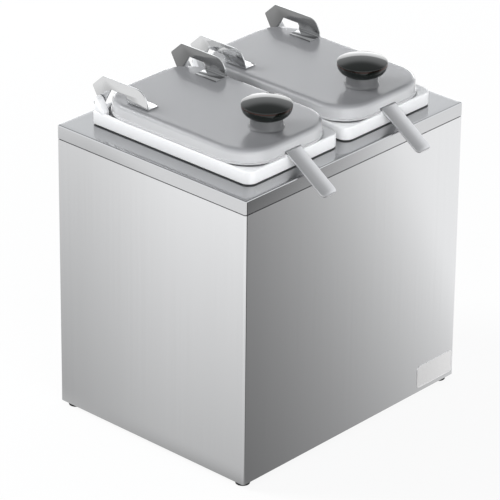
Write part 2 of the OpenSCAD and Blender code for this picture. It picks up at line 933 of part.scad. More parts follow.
module lid(side) {
    color(smoke)
        translate([side * jar_pitch / 2, 0, 0])
            difference() {
                union() {
                    translate([0, lid_front_y + lid_length / 2, 0])
                        lid_outside();
                    translate([0, knob_y, lid_top_z])
                        boss();
                }
                translate([0, lid_front_y + lid_length / 2, lid_z - 1])
                    linear_extrude(lid_height - lid_wall + 1)
                        round_plan(lid_width - 2 * lid_wall, lid_length - 2 * lid_wall,
                            lid_corner - lid_wall);
                translate([0, knob_y, lid_top_z - lid_wall - 1])
                    cylinder(h = boss_height - boss_roof + lid_wall + 1, r1 = boss_radius - 1.5,
                        r2 = boss_radius - 3);
                translate([0, knob_y, lid_top_z])
                    cylinder(h = boss_height + 1, r = knob_screw_radius + hair);
                translate([ladle_offset - ladle_width / 2 - notch_clearance, lid_front_y - bead - 1,
                    lid_z - 1])
                    cube([ladle_width + 2 * notch_clearance, lid_wall + bead + 2,
                        notch_height + 1]);
                stud_spots(lid_top_z - lid_wall - 1)
                    cylinder(h = lid_wall + 2, r = stud_radius + hair);
            }
}
notch_height = fold_z + fold_outer + notch_headroom - lid_z;
boss_roof = 4.2;

// the boss: a post with a cove round its foot, sunk a little into the lid's top
module boss() {
    sunk = 0.3;
    rotate_extrude()
        union() {
            translate([0, -1])
                square([boss_radius, boss_height + 1]);
            difference() {
                translate([0, -1])
                    square([boss_radius + boss_cove, boss_cove + 1 - sunk]);
                translate([boss_radius + boss_cove, boss_cove - sunk])
                    circle(r = boss_cove);
            }
        }
}

// the moulded shell's outside: an upright wall, a rounded shoulder and a bead at its foot
module lid_outside() {
    turns = [0, 22.5, 45, 67.5, 90];
    translate([0, 0, lid_z])
        linear_extrude(lid_height - shoulder)
            round_plan(lid_width, lid_length, lid_corner);
    translate([0, 0, lid_z])
        linear_extrude(bead_height)
            round_plan(lid_width + 2 * bead, lid_length + 2 * bead, lid_corner + bead);
    hull()
        for (turn = turns) {
            inset = shoulder * (1 - cos(turn)) + hair;
            drop = turn == 0 ? 0.6 : 0.02;
            translate([0, 0, lid_top_z - shoulder + shoulder * sin(turn) - drop])
                linear_extrude(drop)
                    round_plan(lid_width - 2 * inset, lid_length - 2 * inset, lid_corner - inset,
                        $fn = hull_fn);
        }
}

// where the clips' studs go through the lid, two under each foot
module stud_spots(z) {
    for (end = [-1, 1], place = [0.25, 0.75])
        translate([end * (clip_inner_x - foot_width * 0.45), clip_front_y + foot_length * place, z])
            children();
}

// a hinge clip: a foot on the lid, a plate that stands up from it, and a tail down to the pin
module clip(side, end) {
    start = end > 0 ? clip_inner_x : -clip_outer_x;
    color(bright_steel)
        translate([side * jar_pitch / 2, 0, 0])
            union() {
                side_plate(start, clip_sheet)
                    clip_outline();
                translate([end > 0 ? clip_inner_x - foot_width : -clip_inner_x - 0.2, clip_front_y,
                    clip_z])
                    cube([foot_width + 0.2, foot_length, clip_sheet]);
            }
}
clip_z = lid_top_z + hair;

module clip_outline() {
    top = clip_z + clip_height;
    corner = 1.5;
    rear = [hinge_y + clip_overhang - corner, clip_z + 4.4];
    difference() {
        hull() {
            translate([clip_front_y + clip_front_radius, top - clip_front_radius])
                circle(r = clip_front_radius, $fn = hull_fn);
            translate([hinge_y - 0.5 - corner, top - corner])
                circle(r = corner, $fn = hull_fn);
            translate(rear)
                circle(r = corner, $fn = hull_fn);
        }
        translate([clip_front_y - 1, clip_z - clip_reach])
            square([foot_length + 2, clip_reach]);
        translate([clip_front_y + foot_length, clip_z - clip_reach])
            square([clip_reach, clip_reach + clip_notch_height]);
    }
    hull() {
        translate([hinge_y, hinge_z])
            circle(r = tail_radius, $fn = hull_fn);
        translate([hinge_y - 10.2, clip_z + clip_notch_height - 0.1])
            square([1, 0.6]);
        translate(rear)
            circle(r = corner, $fn = hull_fn);
    }
}

module hinge_pins(side) {
    pin_length = clip_gap + ear_thickness - 0.2;
    color(steel)
        translate([side * jar_pitch / 2, hinge_y, hinge_z])
            for (end = [-1, 1])
                rotate([0, end * 90, 0])
                    translate([0, 0, clip_outer_x + hair])
                        cylinder(h = pin_length, r = pin_radius);
}

push_nut = 1;
module clip_studs(side) {
    color(steel)
        translate([side * jar_pitch / 2, 0, 0])
            stud_spots(lid_top_z - lid_wall - push_nut - 1)
                cylinder(h = lid_wall + push_nut + 1, r = stud_radius);
}

module push_nuts(side) {
    color(bright_steel)
        translate([side * jar_pitch / 2, 0, 0])
            stud_spots(lid_top_z - lid_wall - hair - push_nut)
                difference() {
                    cylinder(h = push_nut, r = 3.2);
                    translate([0, 0, -1])
                        cylinder(h = push_nut + 2, r = stud_radius + hair);
                }
}

// Lid knobs

knob_screw_radius = 2;
knob_screw_depth = 6;
module lid_knob(side) {
    lip_z = knob_ring_height + ring_width;
    dome_z = lip_z + knob_lip;
    dome_radius = (knob_radius * knob_radius + dome_height * dome_height) / (2 * dome_height);
    color(black)
        translate([side * jar_pitch / 2, knob_y, knob_z + hair])
            difference() {
                rotate_extrude()
                    union() {
                        square([knob_radius - flank_radius, knob_ring_height]);
                        intersection() {
                            translate([knob_radius - flank_radius, knob_ring_height])
                                circle(r = flank_radius);
                            square([knob_radius, knob_ring_height]);
                        }
                        square([knob_radius - ring_inset, dome_z]);
                        translate([0, lip_z])
                            square([knob_radius, knob_lip]);
                        intersection() {
                            translate([0, dome_z + dome_height - dome_radius])
                                circle(r = dome_radius, $fn = 96);
                            translate([0, dome_z - hair])
                                square([knob_radius, dome_height + 1]);
                        }
                    }
                translate([0, 0, -1])
                    cylinder(h = knob_screw_depth + 1, r = knob_screw_radius + hair);
            }
}
ring_inset = 1.4;

module knob_ring(side) {
    color(copper)
        translate([side * jar_pitch / 2, knob_y, knob_z + 1.5 * hair + knob_ring_height])
            difference() {
                cylinder(h = ring_width - hair, r = knob_radius - 0.1);
                translate([0, 0, -1])
                    cylinder(h = ring_width + 2, r = knob_radius - ring_inset + hair);
            }
}

module knob_screw(side) {
    head = 2.2;
    head_z = knob_z - boss_roof - hair - head;
    color(steel)
        translate([side * jar_pitch / 2, knob_y, head_z])
            union() {
                cylinder(h = head, r = 4);
                translate([0, 0, 1])
                    cylinder(h = knob_z + knob_screw_depth - 0.5 - head_z - 1,
                        r = knob_screw_radius);
            }
}

// Ladles

module ladle_handle(side) {
    color(steel)
        translate([side * jar_pitch / 2 + ladle_offset, fold_y, fold_z])
            difference() {
                rotate([90, 0, 90])
                    translate([0, 0, -ladle_width / 2])
                        linear_extrude(ladle_width)
                            strip_profile();
                rotate([tail_slope, 0, 0])
                    for (end = [0, 1])
                        mirror([end, 0, 0])
                            translate([ladle_width / 2 - tip_corner, tip_corner - tail_length,
                                fold_inner - 1])
                                linear_extrude(ladle_sheet + 2)
                                    corner_waste();
            }
}
tip_corner = 4;
fold_steps = 14;

// the strip seen from the side: both ends leave the fold straight
module strip_profile() {
    turns = [for (i = [0 : fold_steps])
        shank_lean + (90 + tail_slope - shank_lean) * i / fold_steps];
    tail_way = [-cos(tail_slope), -sin(tail_slope)];
    tail_up = [-sin(tail_slope), cos(tail_slope)];
    shank_way = [sin(shank_lean), -cos(shank_lean)];
    shank_out = [cos(shank_lean), sin(shank_lean)];
    polygon(concat(
        [for (i = [0 : fold_steps]) fold_outer * [cos(turns[i]), sin(turns[i])]],
        [tail_length * tail_way + fold_outer * tail_up],
        [tail_length * tail_way + fold_inner * tail_up],
        [for (i = [fold_steps : -1 : 0]) fold_inner * [cos(turns[i]), sin(turns[i])]],
        [shank_length * shank_way + fold_inner * shank_out],
        [shank_length * shank_way + fold_outer * shank_out]
    ));
}

// what is cut off a square corner of the tip to leave it round
module corner_waste() {
    difference() {
        translate([0, -tip_corner - 1])
            square(tip_corner + 1);
        circle(r = tip_corner + 0.1);
    }
}

// the bowl hangs against the shank's rear face, its rim level
module ladle_bowl(side) {
    reach = fold_outer + bowl_radius + hair;
    down = ((fold_z - bowl_z) + reach * sin(shank_lean)) / cos(shank_lean);
    centre_y = fold_y + reach * cos(shank_lean) + down * sin(shank_lean);
    color(steel)
        translate([side * jar_pitch / 2 + ladle_offset, centre_y, bowl_z])
            difference() {
                sphere(r = bowl_radius);
                sphere(r = bowl_radius - bowl_wall);
                translate([-2 * bowl_radius, -2 * bowl_radius, 0])
                    cube([4 * bowl_radius, 4 * bowl_radius, 2 * bowl_radius]);
            }
}

framed() outer_shell();
framed() top_cover();
framed() water_well();
framed() insulation_wall();
framed() insulation_base();
framed() base_plate();
framed() base_screws();
framed() cover_screws();
framed() rubber_feet();
framed() heating_element();
framed() well_studs();
framed() clamp_bars();
framed() clamp_nuts();
framed() high_limit();
framed() thermostat_body();
framed() thermostat_nut();
framed() thermostat_shaft();
framed() thermostat_knob();
framed() sensing_bulb();
framed() power_inlet();
framed() inlet_blades();
framed() inlet_screws();
framed() terminal_block();
framed() wiring();
framed() jar(-1);  // jar_left
framed() lid(-1);  // lid_left
framed() clip(-1, -1);  // clip_outer_left
framed() clip(-1, 1);  // clip_inner_left
framed() hinge_pins(-1);  // hinge_pins_left
framed() clip_studs(-1);  // clip_studs_left
framed() push_nuts(-1);  // push_nuts_left
framed() lid_knob(-1);  // lid_knob_left
framed() knob_ring(-1);  // knob_ring_left
framed() knob_screw(-1);  // knob_screw_left
framed() ladle_handle(-1);  // ladle_handle_left
framed() ladle_bowl(-1);  // ladle_bowl_left
framed() jar(1);  // jar_right
framed() lid(1);  // lid_right
framed() clip(1, 1);  // clip_outer_right
framed() clip(1, -1);  // clip_inner_right
framed() hinge_pins(1);  // hinge_pins_right
framed() clip_studs(1);  // clip_studs_right
framed() push_nuts(1);  // push_nuts_right
framed() lid_knob(1);  // lid_knob_right
framed() knob_ring(1);  // knob_ring_right
framed() knob_screw(1);  // knob_screw_right
framed() ladle_handle(1);  // ladle_handle_right
framed() ladle_bowl(1);  // ladle_bowl_right
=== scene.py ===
"""Looks of the topping warmer: cabinet, cover, jars, lids, knobs and ladles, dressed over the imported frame.

Everything is in metres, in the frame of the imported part: front is -Y, up is +Z, feet on Z = 0.
"""

import logging
import math
from dataclasses import dataclass, field
from enum import Enum
from typing import Iterable, Sequence

import bmesh
import bpy
import numpy as np
from mathutils import Matrix, Vector


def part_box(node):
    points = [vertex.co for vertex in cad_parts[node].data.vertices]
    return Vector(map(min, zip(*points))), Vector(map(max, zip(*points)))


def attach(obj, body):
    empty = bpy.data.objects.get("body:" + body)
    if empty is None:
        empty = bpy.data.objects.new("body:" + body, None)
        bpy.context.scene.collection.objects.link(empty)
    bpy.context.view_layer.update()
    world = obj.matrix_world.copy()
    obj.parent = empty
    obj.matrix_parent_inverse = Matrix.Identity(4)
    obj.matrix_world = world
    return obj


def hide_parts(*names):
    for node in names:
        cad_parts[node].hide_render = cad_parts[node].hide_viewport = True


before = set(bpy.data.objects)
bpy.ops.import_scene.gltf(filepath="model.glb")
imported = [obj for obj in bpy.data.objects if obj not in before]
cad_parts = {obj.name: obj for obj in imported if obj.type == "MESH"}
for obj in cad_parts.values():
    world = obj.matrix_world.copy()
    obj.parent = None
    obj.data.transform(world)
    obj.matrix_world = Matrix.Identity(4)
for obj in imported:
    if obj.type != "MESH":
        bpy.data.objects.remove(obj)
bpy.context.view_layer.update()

MM = 0.001
TAU = 2.0 * math.pi
SHARP = math.radians(32.0)
TINY = 1e-6 * MM
log = logging.getLogger("warmer")

Array = np.ndarray
Colour = tuple[float, float, float]


class Side(Enum):
    """The two jar places, by the sign of their X."""

    LEFT = -1
    RIGHT = 1

    @property
    def word(self) -> str:
        """The side's name as node and body names use it."""
        return self.name.lower()


class Lay(Enum):
    """Which two axes a flat outline lies in; the plate's thickness runs along the third."""

    YZ = (1, 2, 0)
    XZ = (0, 2, 1)


# ---------------------------------------------------------------- surfaces


def arc(centre: Sequence[float], radius: float, start: float, end: float, steps: int) -> Array:
    """Points of an arc in a plane: p = c + r (cos a, sin a), with a running from start to end.

    Args:
        centre: The arc's centre.
        radius: Its radius.
        start: First angle in degrees.
        end: Last angle in degrees.
        steps: How many stretches the arc is cut into.
    Returns:
        An array of steps + 1 points.
    """
    a = np.radians(np.linspace(start, end, steps + 1))
    return np.stack([centre[0] + radius * np.cos(a), centre[1] + radius * np.sin(a)], axis=1)


def belt(rounds: Sequence[tuple[float, float, float]], steps: int = 10) -> Array:
    """The outline that a belt takes round discs, anticlockwise; a disc of no radius is a corner.

    The belt leaves disc i for disc j where the normal n meets n . (cj - ci) = ri - rj.

    Args:
        rounds: (u, v, radius) of each disc in order.
        steps: Stretches in each disc's arc.
    Returns:
        The closed outline's points.
    """
    discs = np.asarray(rounds, dtype=float)
    nxt = np.roll(discs, -1, axis=0)
    gap = nxt[:, :2] - discs[:, :2]
    length = np.hypot(gap[:, 0], gap[:, 1])
    heading = np.arctan2(gap[:, 1], gap[:, 0])
    leave = heading - np.arccos(np.clip((discs[:, 2] - nxt[:, 2]) / length, -1, 1))
    arrive = np.roll(leave, 1)
    points = []
    for disc, first, last in zip(discs, arrive, leave):
        if disc[2] <= 0:
            points.append(disc[None, :2])
            continue
        turn = (last - first) % TAU
        points.append(arc(disc[:2], disc[2], math.degrees(first), math.degrees(first + turn), steps))
    return np.concatenate(points)


def shrink(outline: Array, inset: float) -> Array:
    """Draws a closed outline in along its own normals: q = p - inset n.

    Args:
        outline: Anticlockwise points.
        inset: How far in.
    Returns:
        The drawn-in outline.
    """
    ahead = np.roll(outline, -1, axis=0) - outline
    ahead /= np.maximum(np.linalg.norm(ahead, axis=1, keepdims=True), TINY)
    behind = np.roll(ahead, 1, axis=0)
    way = ahead + behind
    way /= np.maximum(np.linalg.norm(way, axis=1, keepdims=True), TINY)
    normal = np.stack([way[:, 1], -way[:, 0]], axis=1)
    return outline - inset * normal


def grid_faces(rows: int, cols: int, closed: bool) -> Array:
    """Quads of a grid whose columns run round a loop.

    Args:
        rows: Points along the profile.
        cols: Points round the loop.
        closed: Whether the last row joins the first.
    Returns:
        Quads as an array of four indices each.
    """
    r = np.arange(rows if closed else rows - 1)[:, None]
    c = np.arange(cols)[None, :]
    up, on = (r + 1) % rows, (c + 1) % cols
    quads = np.stack([r * cols + c, r * cols + on, up * cols + on, up * cols + c], axis=-1)
    return quads.reshape(-1, 4)


@dataclass
class Skin:
    """A mesh in the making: points and faces, with loops that close its ends."""

    points: list[Array] = field(default_factory=list)
    faces: list[list[int]] = field(default_factory=list)
    count: int = 0

    def add_grid(self, grid: Array, closed: bool = False, capped: bool = False) -> "Skin":
        """Adds a grid of points as quads; its columns close on themselves.

        Args:
            grid: Array of (rows, cols, 3).
            closed: Whether rows close on themselves.
            capped: Whether one face closes the first row, and one the last.
        Returns:
            This skin.
        """
        rows, cols = grid.shape[:2]
        base = self.count
        self.points.append(grid.reshape(-1, 3))
        self.faces.extend((grid_faces(rows, cols, closed) + base).tolist())
        if capped:
            self.faces.append([base + i for i in range(cols)][::-1])
            self.faces.append([base + (rows - 1) * cols + i for i in range(cols)])
        self.count += rows * cols
        return self

    def make(self, name: str) -> bpy.types.Object:
        """Turns the skin into an object whose place is in its mesh, with its faces outwards.

        Args:
            name: The object's name.
        Returns:
            The new object.
        """
        mesh = bpy.data.meshes.new(name)
        mesh.from_pydata(np.concatenate(self.points).tolist(), [], self.faces)
        work = bmesh.new()
        work.from_mesh(mesh)
        bmesh.ops.remove_doubles(work, verts=work.verts, dist=1e-3 * MM)
        bmesh.ops.dissolve_degenerate(work, edges=work.edges, dist=1e-4 * MM)
        bmesh.ops.recalc_face_normals(work, faces=work.faces)
        work.to_mesh(mesh)
        work.free()
        smooth(mesh)
        made = bpy.data.objects.new(name, mesh)
        bpy.context.scene.collection.objects.link(made)
        return made


def smooth(mesh: bpy.types.Mesh) -> None:
    """Shades a mesh as round, up to edges sharper than SHARP."""
    mesh.polygons.foreach_set("use_smooth", np.ones(len(mesh.polygons), dtype=bool))
    mesh.set_sharp_from_angle(angle=SHARP)
    mesh.update()


@dataclass(frozen=True)
class RoundPlan:
    """A rectangle with round corners, seen from above; front and rear corners may differ."""

    centre: tuple[float, float]
    half_width: float
    half_length: float
    front_radius: float
    rear_radius: float
    stops: tuple[float, ...] = ()
    steps: int = 12

    def sweep(self, profile: Array) -> Array:
        """Carries a profile round the plan.

        A corner point at inset d and angle a is c + r' (cos a, sin a), with r' = max(r - d, r0) and
        c = (sx (w - d - r'), sy (l - d - r')); a stop on the front edge is (x, -(l - d)).

        Args:
            profile: Rows of (inset, height) or (inset, height, extra corner radius).
        Returns:
            A grid of (rows, columns, 3).
        """
        d = profile[:, 0][:, None]
        z = profile[:, 1][:, None]
        extra = profile[:, 2][:, None] if profile.shape[1] > 2 else np.zeros_like(d)
        columns = []
        for sx, sy, first in ((1, -1, -90), (1, 1, 0), (-1, 1, 90), (-1, -1, 180)):
            a = np.radians(np.linspace(first, first + 90, self.steps + 1))[None, :]
            radius = self.front_radius if sy < 0 else self.rear_radius
            r = np.maximum(radius - d + extra, 0.3 * MM)
            x = sx * (self.half_width - d - r) + r * np.cos(a)
            y = sy * (self.half_length - d - r) + r * np.sin(a)
            columns.append(np.stack([x, y, np.broadcast_to(z, x.shape)], axis=-1))
        if self.stops:
            x = np.broadcast_to(np.asarray(self.stops)[None, :], (len(d), len(self.stops)))
            y = np.broadcast_to(-(self.half_length - d), x.shape)
            columns.append(np.stack([x, y, np.broadcast_to(z, x.shape)], axis=-1))
        grid = np.concatenate(columns, axis=1)
        return grid + np.array([self.centre[0], self.centre[1], 0.0])


def lathe(profile: Array, centre: Sequence[float], steps: int = 96) -> Array:
    """Turns a profile about an upright axis: p = c + (r cos a, r sin a, z).

    Args:
        profile: Rows of (radius, height).
        centre: A point on the axis.
        steps: Columns round the axis.
    Returns:
        A grid of (rows, steps, 3).
    """
    a = np.linspace(0, TAU, steps, endpoint=False)[None, :]
    r, z = profile[:, 0][:, None], profile[:, 1][:, None]
    grid = np.stack([r * np.cos(a), r * np.sin(a), np.broadcast_to(z, (len(profile), steps))], axis=-1)
    return grid + np.asarray(centre, dtype=float)


def plate(outline: Array, low: float, high: float, edge: float, lay: Lay) -> Skin:
    """A flat plate with softened rims: rings at inset e, 0, 0 and e, closed by one face each side.

    Args:
        outline: Anticlockwise outline in the lay's first two axes.
        low: Where the thickness starts along the third axis.
        high: Where it ends.
        edge: Radius of the rims.
        lay: Which axes the outline lies in.
    Returns:
        The closed skin.
    """
    turns = np.radians(np.array([0.0, 30.0, 60.0, 90.0]))
    insets = np.concatenate([edge * (1 - np.sin(turns)), edge * (1 - np.cos(turns))])
    depths = np.concatenate([low + edge * (1 - np.cos(turns)), high - edge * (1 - np.sin(turns))])
    rings = np.zeros((len(insets), len(outline), 3))
    for row, (inset, depth) in enumerate(zip(insets, depths)):
        flat = shrink(outline, inset)
        rings[row, :, lay.value[0]] = flat[:, 0]
        rings[row, :, lay.value[1]] = flat[:, 1]
        rings[row, :, lay.value[2]] = depth
    return Skin().add_grid(rings, capped=True)


def strip(path: Array, half_width: Array, thickness: float, edge: float, x: float) -> Skin:
    """A sheet strip carried along a path in Y and Z.

    With n the path's normal and (u, v) a rounded slot section, p = path + v n + u w(s) along X.

    Args:
        path: Rows of (y, z) along the strip's middle.
        half_width: The strip's half width at each row.
        thickness: The sheet's thickness.
        edge: Radius of the rims.
        x: The strip's middle along X.
    Returns:
        The closed skin.
    """
    way = np.gradient(path, axis=0)
    way /= np.maximum(np.linalg.norm(way, axis=1, keepdims=True), TINY)
    normal = np.stack([-way[:, 1], way[:, 0]], axis=1)
    half = thickness / 2
    corner = np.radians(np.array([0.0, 45.0, 90.0]))
    u_in = edge * (1 - np.cos(corner))
    v = half - edge * (1 - np.sin(corner))
    insets = np.concatenate([u_in, u_in[::-1], u_in, u_in[::-1]])
    heights = np.concatenate([v, v[::-1], -v, -v[::-1]])
    sides = np.concatenate([np.ones(3), -np.ones(3), -np.ones(3), np.ones(3)])
    across = sides[None, :] * (half_width[:, None] - insets[None, :])
    grid = np.stack([
        x + across,
        path[:, 0][:, None] + heights[None, :] * normal[:, 0][:, None],
        path[:, 1][:, None] + heights[None, :] * normal[:, 1][:, None],
    ], axis=-1)
    return Skin().add_grid(grid, capped=True)


# ---------------------------------------------------------------- node trees


class Graph:
    """A node tree in the making."""

    def __init__(self, tree: bpy.types.NodeTree) -> None:
        """Keeps the tree."""
        self.tree = tree

    def node(self, kind: str, **values: object) -> bpy.types.Node:
        """Adds a node and sets its properties."""
        made = self.tree.nodes.new(kind)
        for key, value in values.items():
            setattr(made, key, value)
        return made

    def fill(self, node: bpy.types.Node, inputs: dict[str | int, object]) -> bpy.types.Node:
        """Joins each input to a socket, or sets it to a plain value.

        Args:
            node: The node.
            inputs: A socket or a value for each input, by its name or number.
        Returns:
            The node.
        """
        for label, value in inputs.items():
            if isinstance(value, bpy.types.NodeSocket):
                self.tree.links.new(value, node.inputs[label])
            else:
                node.inputs[label].default_value = value
        return node

    def maths(self, operation: str, *values: object, clamped: bool = False) -> bpy.types.NodeSocket:
        """Adds a Math node fed by sockets or numbers.

        Args:
            operation: The Math node's operation.
            values: Sockets or numbers in the order of its inputs.
            clamped: Whether the result stays within 0 and 1.
        Returns:
            The result's socket.
        """
        made = self.node("ShaderNodeMath", operation=operation, use_clamp=clamped)
        return self.fill(made, dict(enumerate(values))).outputs[0]

    def ranged(self, source: bpy.types.NodeSocket, start: float, end: float, low: float, high: float,
               curve: str = "LINEAR") -> bpy.types.NodeSocket:
        """Maps start to end on to low to high, and holds both ends.

        Args:
            source: The value.
            start: Where the value is mapped to low.
            end: Where it is mapped to high.
            low: Result at start.
            high: Result at end.
            curve: The Map Range node's interpolation.
        Returns:
            The mapped value's socket.
        """
        made = self.node("ShaderNodeMapRange", interpolation_type=curve)
        return self.fill(made, {"Value": source, "From Min": start, "From Max": end,
                                "To Min": low, "To Max": high}).outputs["Result"]

    def noise(self, vector: bpy.types.NodeSocket, scale: object, detail: float,
              roughness: float = 0.5) -> bpy.types.NodeSocket:
        """Adds a Noise node and hands out its value."""
        return self.fill(self.node("ShaderNodeTexNoise"), {
            "Vector": vector, "Scale": scale, "Detail": detail, "Roughness": roughness}).outputs[0]

    def axes(self, vector: bpy.types.NodeSocket) -> bpy.types.NodeOutputs:
        """Splits a vector into its X, Y and Z."""
        return self.fill(self.node("ShaderNodeSeparateXYZ"), {0: vector}).outputs

    def light(self, kind: str, colour: Colour, strength: object) -> bpy.types.NodeSocket:
        """Adds a Background or Emission node of a colour and strength."""
        return self.fill(self.node(kind), {"Color": (*colour, 1.0), "Strength": strength}).outputs[0]

    def mixed(self, mask: bpy.types.NodeSocket, a: bpy.types.NodeSocket,
              b: bpy.types.NodeSocket) -> bpy.types.NodeSocket:
        """Mixes two shaders: a where the mask is 0, b where it is 1."""
        return self.fill(self.node("ShaderNodeMixShader"), {0: mask, 1: a, 2: b}).outputs[0]


class Effect(Graph):
    """A shader node group in the making, with named inputs and outputs."""

    def __init__(self, name: str, inputs: dict[str, float | None], outputs: Sequence[str]) -> None:
        """Makes the group's sockets and its end nodes.

        Args:
            name: The group's name.
            inputs: Each input's plain value, or None for a vector.
            outputs: Names of the values that it puts out.
        """
        super().__init__(bpy.data.node_groups.new(name, "ShaderNodeTree"))
        for label, value in inputs.items():
            kind = "NodeSocketVector" if value is None else "NodeSocketFloat"
            socket = self.tree.interface.new_socket(name=label, in_out="INPUT", socket_type=kind)
            if value is not None:
                socket.default_value = value
        for label in outputs:
            self.tree.interface.new_socket(name=label, in_out="OUTPUT", socket_type="NodeSocketFloat")
        self.given = self.node("NodeGroupInput").outputs
        self.outs = self.node("NodeGroupOutput")


def grain_effect() -> bpy.types.NodeTree:
    """Brushed grain: noise drawn out along one axis by unequal scales, in two sizes.

    Returns:
        A group that puts out Grain and Height, both about 0.5 on average.
    """
    effect = Effect("brushed_grain", {"Vector": None, "Fine": 1.0, "Coarse": 0.5}, ("Grain", "Height"))
    vector, fine_share, coarse_share = (effect.given[label] for label in ("Vector", "Fine", "Coarse"))
    fine = effect.noise(vector, scale=1.0, detail=3.0)
    coarse = effect.noise(vector, scale=0.16, detail=2.0)
    total = effect.maths("ADD", effect.maths("MULTIPLY", fine, fine_share),
                         effect.maths("MULTIPLY", coarse, coarse_share))
    weight = effect.maths("ADD", fine_share, coarse_share)
    effect.fill(effect.outs, {"Grain": effect.maths("DIVIDE", total, weight), "Height": fine})
    return effect.tree


def handling_effect() -> bpy.types.NodeTree:
    """Marks of use: soft clouds of film, broken by small specks.

    Returns:
        A group that puts out Film, a 0 to 1 mask.
    """
    effect = Effect("handling_film", {"Vector": None, "Size": 18.0, "Amount": 0.5}, ("Film",))
    cloud_start, cloud_gain = 0.42, 3.2
    cloud = effect.noise(effect.given["Vector"], effect.given["Size"], detail=5.0, roughness=0.62)
    speck = effect.noise(effect.given["Vector"], scale=420.0, detail=1.0)
    lifted = effect.maths("SUBTRACT", cloud, cloud_start)
    spread = effect.maths("MULTIPLY", lifted, cloud_gain, clamped=True)
    dotted = effect.maths("MULTIPLY", spread, speck)
    effect.fill(effect.outs, {"Film": effect.maths("MULTIPLY", dotted, effect.given["Amount"])})
    return effect.tree


# ---------------------------------------------------------------- finishes


class Bench(Graph):
    """A material in the making: its nodes, its shader and the object's own coordinates."""

    def __init__(self, name: str) -> None:
        """Makes the material and finds its shader."""
        self.material = bpy.data.materials.new(name)
        self.material.use_nodes = True
        super().__init__(self.material.node_tree)
        self.shader = self.tree.nodes["Principled BSDF"]

    def effect(self, tree: bpy.types.NodeTree, **values: object) -> bpy.types.NodeOutputs:
        """Places a node group with its own values and hands out its outputs."""
        return self.fill(self.node("ShaderNodeGroup", node_tree=tree), values).outputs

    def coordinates(self, scale: tuple[float, float, float] = (1.0, 1.0, 1.0)) -> bpy.types.NodeSocket:
        """Object coordinates times a scale along X, Y and Z."""
        where = self.node("ShaderNodeTexCoord").outputs["Object"]
        made = self.fill(self.node("ShaderNodeMapping"), {"Scale": scale, "Vector": where})
        return made.outputs["Vector"]

    def film(self, kit: "Workshop", size: float, amount: float) -> bpy.types.NodeSocket:
        """The mask of the handling film on this material."""
        return self.effect(kit.handling, Vector=self.coordinates(), Size=size, Amount=amount)["Film"]

    def blend(self, mask: bpy.types.NodeSocket, a: Colour, b: Colour) -> bpy.types.NodeSocket:
        """Mixes two colours: a where the mask is 0, b where it is 1."""
        made = self.node("ShaderNodeMix", data_type="RGBA")
        return self.fill(made, {"A": (*a, 1.0), "B": (*b, 1.0), "Factor": mask}).outputs["Result"]

    def clouded(self, mask: bpy.types.NodeSocket, colour: Colour, spread: float) -> bpy.types.NodeSocket:
        """Lets a colour run from (1 - spread) to (1 + spread) times itself by a mask."""
        return self.blend(mask, tuple(v * (1 - spread) for v in colour),
                          tuple(min(v * (1 + spread), 1.0) for v in colour))

    def shaded(self, grain_tone_and_shade: bpy.types.NodeSocket, share: bpy.types.NodeSocket) -> bpy.types.NodeSocket:
        """Multiplies a colour by a share that changes over the surface."""
        return self.fill(self.node("ShaderNodeVectorMath", operation="SCALE"),
                         {0: grain_tone_and_shade, "Scale": share}).outputs[0]

    def bump(self, height: bpy.types.NodeSocket, strength: float, distance: float) -> None:
        """Raises the surface's normal by a height mask."""
        made = self.fill(self.node("ShaderNodeBump"), {
            "Strength": strength, "Distance": distance, "Height": height})
        self.fill(self.shader, {"Normal": made.outputs["Normal"]})


@dataclass(frozen=True)
class Finish:
    """A finish that the workshop can make into a material."""

    name: str
    slot: str
    colour: Colour

    def build(self, kit: "Workshop") -> bpy.types.Material:
        """Makes the material; each finish has its own way."""
        raise NotImplementedError


@dataclass(frozen=True)
class Brushed(Finish):
    """Brushed or drawn metal: grain along one axis shifts tone, gloss and height."""

    along: tuple[float, float, float] = (900.0, 900.0, 14.0)
    roughness: tuple[float, float] = (0.26, 0.36)
    tone: float = 0.06
    depth: float = 0.06
    film: float = 0.3
    top_shade_share: float = 1.0
    top_shade_level: float = 0.0
    top_shade_edge: float = 0.4 * MM
    inner_shade_share: float = 1.0
    film_dulls: float = 0.12
    grain_height: float = 0.15 * MM

    def build(self, kit: "Workshop") -> bpy.types.Material:
        """Colour and roughness follow the grain; a faint film dulls it in clouds.

        Above a set height the colour is darkened to a share of the rest: painted shade on the sheet's flat
        top.
        Where the piece's own inward-face mark is 1 the colour is darkened to a share of the rest: painted
        shade on faces that look inwards.
        """
        bench = Bench(self.name)
        grain = bench.effect(kit.grain, Vector=bench.coordinates(self.along), Fine=1.0, Coarse=0.7)
        grain_tone_and_shade = bench.clouded(grain["Grain"], self.colour, self.tone)
        # Painted shade: the colour above a set height is darkened.
        if self.top_shade_share < 1:
            height = bench.axes(bench.coordinates())["Z"]
            grain_tone_and_shade = bench.shaded(grain_tone_and_shade, bench.ranged(
                height, self.top_shade_level - self.top_shade_edge, self.top_shade_level, 1.0, self.top_shade_share))
        # Painted shade: the faces marked as looking inwards are darkened.
        if self.inner_shade_share < 1:
            mark = bench.node("ShaderNodeAttribute", attribute_name="painted_inner_shade").outputs["Fac"]
            grain_tone_and_shade = bench.shaded(grain_tone_and_shade, bench.ranged(mark, 0.0, 1.0, 1.0, self.inner_shade_share))
        gloss = bench.ranged(grain["Grain"], 0.0, 1.0, *self.roughness)
        film = bench.film(kit, 9.0, self.film)
        bench.fill(bench.shader, {"Metallic": 1.0, "Base Color": grain_tone_and_shade,
                                  "Roughness": bench.maths("MULTIPLY_ADD", film, self.film_dulls, gloss)})
        if self.depth > 0:
            bench.bump(grain["Height"], self.depth, self.grain_height)
        return bench.material


